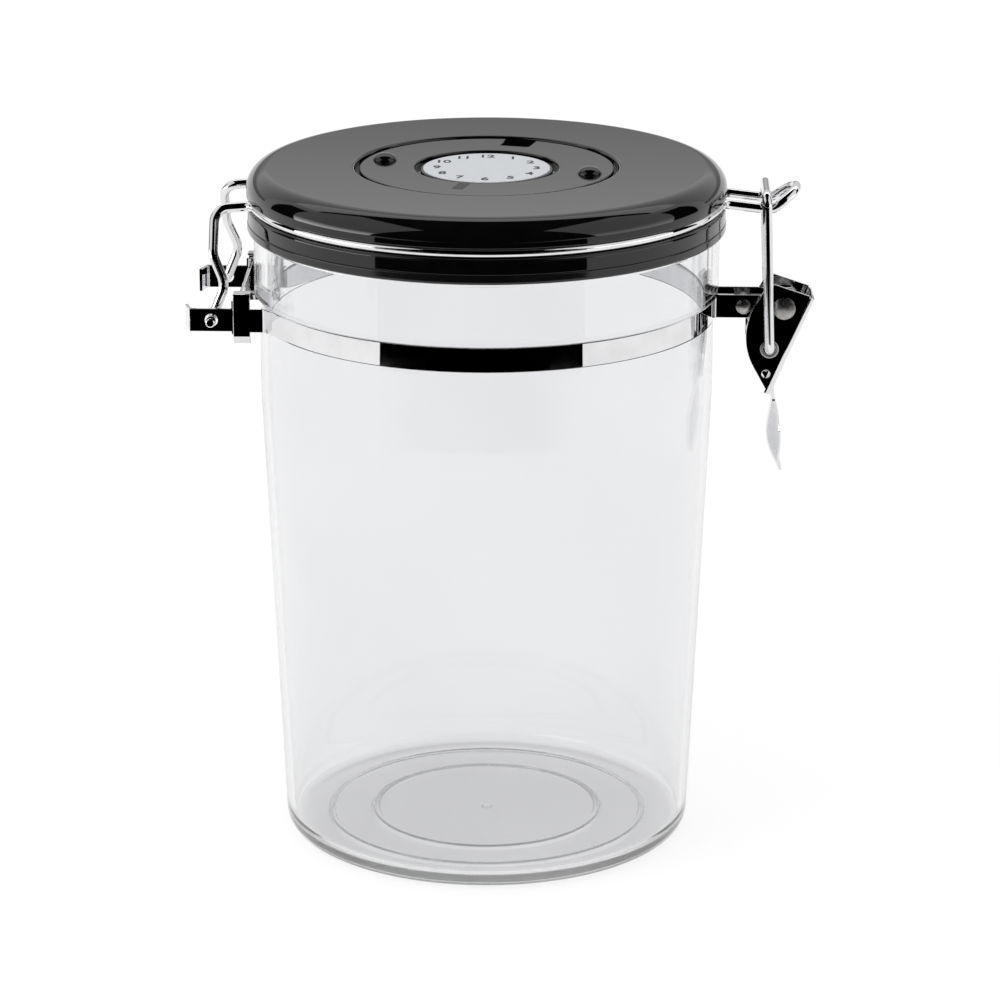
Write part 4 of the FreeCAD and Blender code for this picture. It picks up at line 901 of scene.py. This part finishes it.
for node, material in (
    ("ear_spacer", SATIN), ("pivot_bush", SATIN), ("hub_retainer", SATIN), ("valve_seat", BLACK),
    ("valve_flap", SILICONE), ("valve_filter", FELT), ("valve_cover", BLACK),
):
    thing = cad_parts[node]
    thing.data.materials.clear()
    thing.data.materials.append(material)


# Stage, light and camera

def staged(name, points, material, faces=((0, 1, 2, 3),)):
    """A flat card through its points, in metres."""
    mesh = bpy.data.meshes.new(name)
    mesh.from_pydata([tuple(point) for point in points], [], [tuple(int(i) for i in face) for face in faces])
    mesh.materials.append(material)
    card = bpy.data.objects.new(name, mesh)
    bpy.context.collection.objects.link(card)
    return card


def seen_white(tree):
    """One for rays from the camera, a reflection or a clear piece, else nought."""
    path = tree.nodes.new("ShaderNodeLightPath")
    total = path.outputs["Is Camera Ray"]
    for kind in ("Is Glossy Ray", "Is Transmission Ray"):
        add = tree.nodes.new("ShaderNodeMath")
        add.operation = "MAXIMUM"
        tree.links.new(total, add.inputs[0])
        tree.links.new(path.outputs[kind], add.inputs[1])
        total = add.outputs[0]
    return total


def floor_finish():
    """White floor: a matt surface that keeps the shadow, lifted to white where it is seen."""
    material, tree, shader = finish_nodes("floor_white", Roughness=0.9, Specular_IOR_Level=0.0)
    shader.inputs["Base Color"].default_value = (0.27, 0.27, 0.27, 1)
    shader.inputs["Emission Color"].default_value = (1, 1, 1, 1)
    lift = tree.nodes.new("ShaderNodeMath")
    lift.operation = "MULTIPLY"
    lift.inputs[1].default_value = 0.80
    tree.links.new(seen_white(tree), lift.inputs[0])
    tree.links.new(lift.outputs[0], shader.inputs["Emission Strength"])
    return material


def card_finish(name, low, high, heights=(0.42, 0.50)):
    """A card that glows from one strength to another over a range of heights, in metres."""
    material = bpy.data.materials.new(name)
    material.use_nodes = True
    tree = material.node_tree
    tree.nodes.clear()
    place = tree.nodes.new("ShaderNodeTexCoord")
    split = tree.nodes.new("ShaderNodeSeparateXYZ")
    span = tree.nodes.new("ShaderNodeMapRange")
    glow = tree.nodes.new("ShaderNodeEmission")
    out = tree.nodes.new("ShaderNodeOutputMaterial")
    span.inputs["From Min"].default_value = heights[0]
    span.inputs["From Max"].default_value = heights[1]
    span.inputs["To Min"].default_value = low
    span.inputs["To Max"].default_value = high
    tree.links.new(place.outputs["Object"], split.inputs[0])
    tree.links.new(split.outputs["Z"], span.inputs["Value"])
    tree.links.new(span.outputs["Result"], glow.inputs["Strength"])
    tree.links.new(glow.outputs[0], out.inputs["Surface"])
    return material


def soft_finish():
    """A card that glows by its own attribute."""
    material, tree, shader = finish_nodes("soft_card", Base_Color=(0, 0, 0, 1), Specular_IOR_Level=0.0)
    shader.inputs["Emission Color"].default_value = (1, 1, 1, 1)
    glow = tree.nodes.new("ShaderNodeAttribute")
    glow.attribute_name = "glow"
    tree.links.new(glow.outputs["Fac"], shader.inputs["Emission Strength"])
    return material


def reflected(name, points, material, faces=((0, 1, 2, 3),)):
    """A card that shows in gloss and metal alone, and neither lights nor shades the scene."""
    card = staged(name, points, material, faces)
    card.visible_camera = False
    card.visible_diffuse = False
    card.visible_shadow = False
    card.visible_transmission = False
    card.visible_volume_scatter = False
    return card


def floor_sector(name, near, far, material, rings=2):
    """A sector of a ring just above the floor in front: x = r sin a, y = -r cos a about the jar's axis."""
    a = np.radians(np.linspace(*SECTOR, SECTOR_STEPS))[:, None]
    r = np.linspace(near, far, rings)
    level = np.full((SECTOR_STEPS, rings), SECTOR_LEVEL)
    points, faces = grid(np.stack([AXIS * MM + r * np.sin(a), -r * np.cos(a), level], axis=-1))
    return reflected(name, points, material, faces)


def soften(card, rings, inner_share, side_share):
    """Fades a sector to the floor's white: by smooth steps from its inner edge and from both its sides."""
    along = np.linspace(0, 1, SECTOR_STEPS)[:, None]
    depth = np.linspace(0, 1, rings)[None]
    dark = np.clip(np.minimum(along, 1 - along) / side_share, 0, 1) * np.ones_like(depth)
    rise = np.clip(depth / inner_share, 0, 1)
    dark = dark ** 2 * (3 - 2 * dark) * rise ** 2 * (3 - 2 * rise)
    glow = card.data.attributes.new("glow", "FLOAT", "POINT")
    glow.data.foreach_set("value", (1 - dark).ravel())


# The set, in metres
FLOOR_HALF = 4.0
FLOOR_LEVEL = -0.0003
SET_FRONT = -1.3
SET_REAR = 1.2
SET_ROOF = 1.6
WALL_PLACE = 2.2
ROOF_HALF = 1.6
ROOF_SPLIT = 0.5
REAR_LOW = 0.30
SIDE_LOW = 0.02
BOX_FOOT = 1.7
BOX_HEAD = 0.8
BOX_FRONT = -1.25
BOX_REAR = 0.24
BOX_TOP = 1.5
BOX_FADE = (0.02, 0.42)
SECTOR = (-50.1, 48.4)
SECTOR_STEPS = 65
SECTOR_LEVEL = 0.002
SECTOR_FAR = 1.3
SOFT_NEAR = 0.34
SOFT_FAR = 0.551
SOFT_RINGS = 24

staged("floor", [
    (-FLOOR_HALF, -FLOOR_HALF, FLOOR_LEVEL), (FLOOR_HALF, -FLOOR_HALF, FLOOR_LEVEL),
    (FLOOR_HALF, FLOOR_HALF, FLOOR_LEVEL), (-FLOOR_HALF, FLOOR_HALF, FLOOR_LEVEL)], floor_finish())
DARK = card_finish("dark_card", 0.0, 0.0)
floor_sector("front_card", SOFT_FAR, SECTOR_FAR, DARK)
soft_card = floor_sector("soft_card", SOFT_NEAR, SOFT_FAR, soft_finish(), SOFT_RINGS)
soften(soft_card, SOFT_RINGS, inner_share=0.42, side_share=0.28)
reflected("front_wall", [
    (-WALL_PLACE, SET_FRONT, 0), (WALL_PLACE, SET_FRONT, 0), (WALL_PLACE, SET_FRONT, SET_ROOF),
    (-WALL_PLACE, SET_FRONT, SET_ROOF)], DARK)
for name, side, low, high in (("left", -1, 6.5, 0.9), ("right", 1, 2.5, 0.9)):
    wall, foot, head = side * WALL_PLACE, side * BOX_FOOT, side * BOX_HEAD
    reflected(name + "_wall", [
        (wall, SET_FRONT, SIDE_LOW), (wall, SET_REAR, SIDE_LOW), (wall, SET_REAR, SET_ROOF),
        (wall, SET_FRONT, SET_ROOF)], DARK)
    reflected(name + "_box", [
        (foot, BOX_FRONT, SIDE_LOW), (foot, BOX_REAR, SIDE_LOW), (head, BOX_REAR, BOX_TOP),
        (head, BOX_FRONT, BOX_TOP)], card_finish(name + "_box", low, high, BOX_FADE))
reflected("rear_card", [
    (-ROOF_HALF, SET_REAR, REAR_LOW), (ROOF_HALF, SET_REAR, REAR_LOW), (ROOF_HALF, SET_REAR, SET_ROOF),
    (-ROOF_HALF, SET_REAR, SET_ROOF)], card_finish("rear_card", low=0.36, high=0.78))
for name, near, far, material in (
    ("roof_card", SET_FRONT, ROOF_SPLIT, DARK),
    ("roof_strip", ROOF_SPLIT, SET_REAR, card_finish("roof_strip", low=1.6, high=1.6)),
):
    reflected(name, [
        (-ROOF_HALF, near, SET_ROOF), (ROOF_HALF, near, SET_ROOF), (ROOF_HALF, far, SET_ROOF),
        (-ROOF_HALF, far, SET_ROOF)], material)

world = bpy.data.worlds.new("studio")
bpy.context.scene.world = world
world.use_nodes = True
sky = world.node_tree.nodes["Background"]
sky.inputs["Color"].default_value = (1, 1, 1, 1)
mix = world.node_tree.nodes.new("ShaderNodeMapRange")
mix.inputs["To Min"].default_value = 0.82
mix.inputs["To Max"].default_value = 1.0
world.node_tree.links.new(seen_white(world.node_tree), mix.inputs["Value"])
world.node_tree.links.new(mix.outputs["Result"], sky.inputs["Strength"])


def soft_lamp(name, place, aim, size, power):
    """A square lamp that looks from its place at the aim."""
    data = bpy.data.lights.new(name, "AREA")
    data.size = size
    data.energy = power
    lamp = bpy.data.objects.new(name, data)
    bpy.context.collection.objects.link(lamp)
    lamp.location = place
    direction = Vector(aim) - Vector(place)
    lamp.rotation_euler = direction.to_track_quat("-Z", "Y").to_euler()
    return lamp


soft_lamp("key_lamp", place=(-1.3, -0.9, 1.5), aim=(0, 0, 0.09), size=1.0, power=9.0)

camera_data = bpy.data.cameras.new("camera")
camera_data.lens = 153.3
camera_data.sensor_width = 36.0
camera_data.shift_x = 0.01334
camera_data.clip_end = 50.0
camera = bpy.data.objects.new("camera", camera_data)
bpy.context.collection.objects.link(camera)
camera.location = (0.0381 + AXIS * MM, -1.0910, 0.434)
camera.rotation_euler = (math.radians(90 - 17.47), 0, math.radians(2.0))
bpy.context.scene.camera = camera
bpy.context.scene.view_settings.view_transform = "Standard"
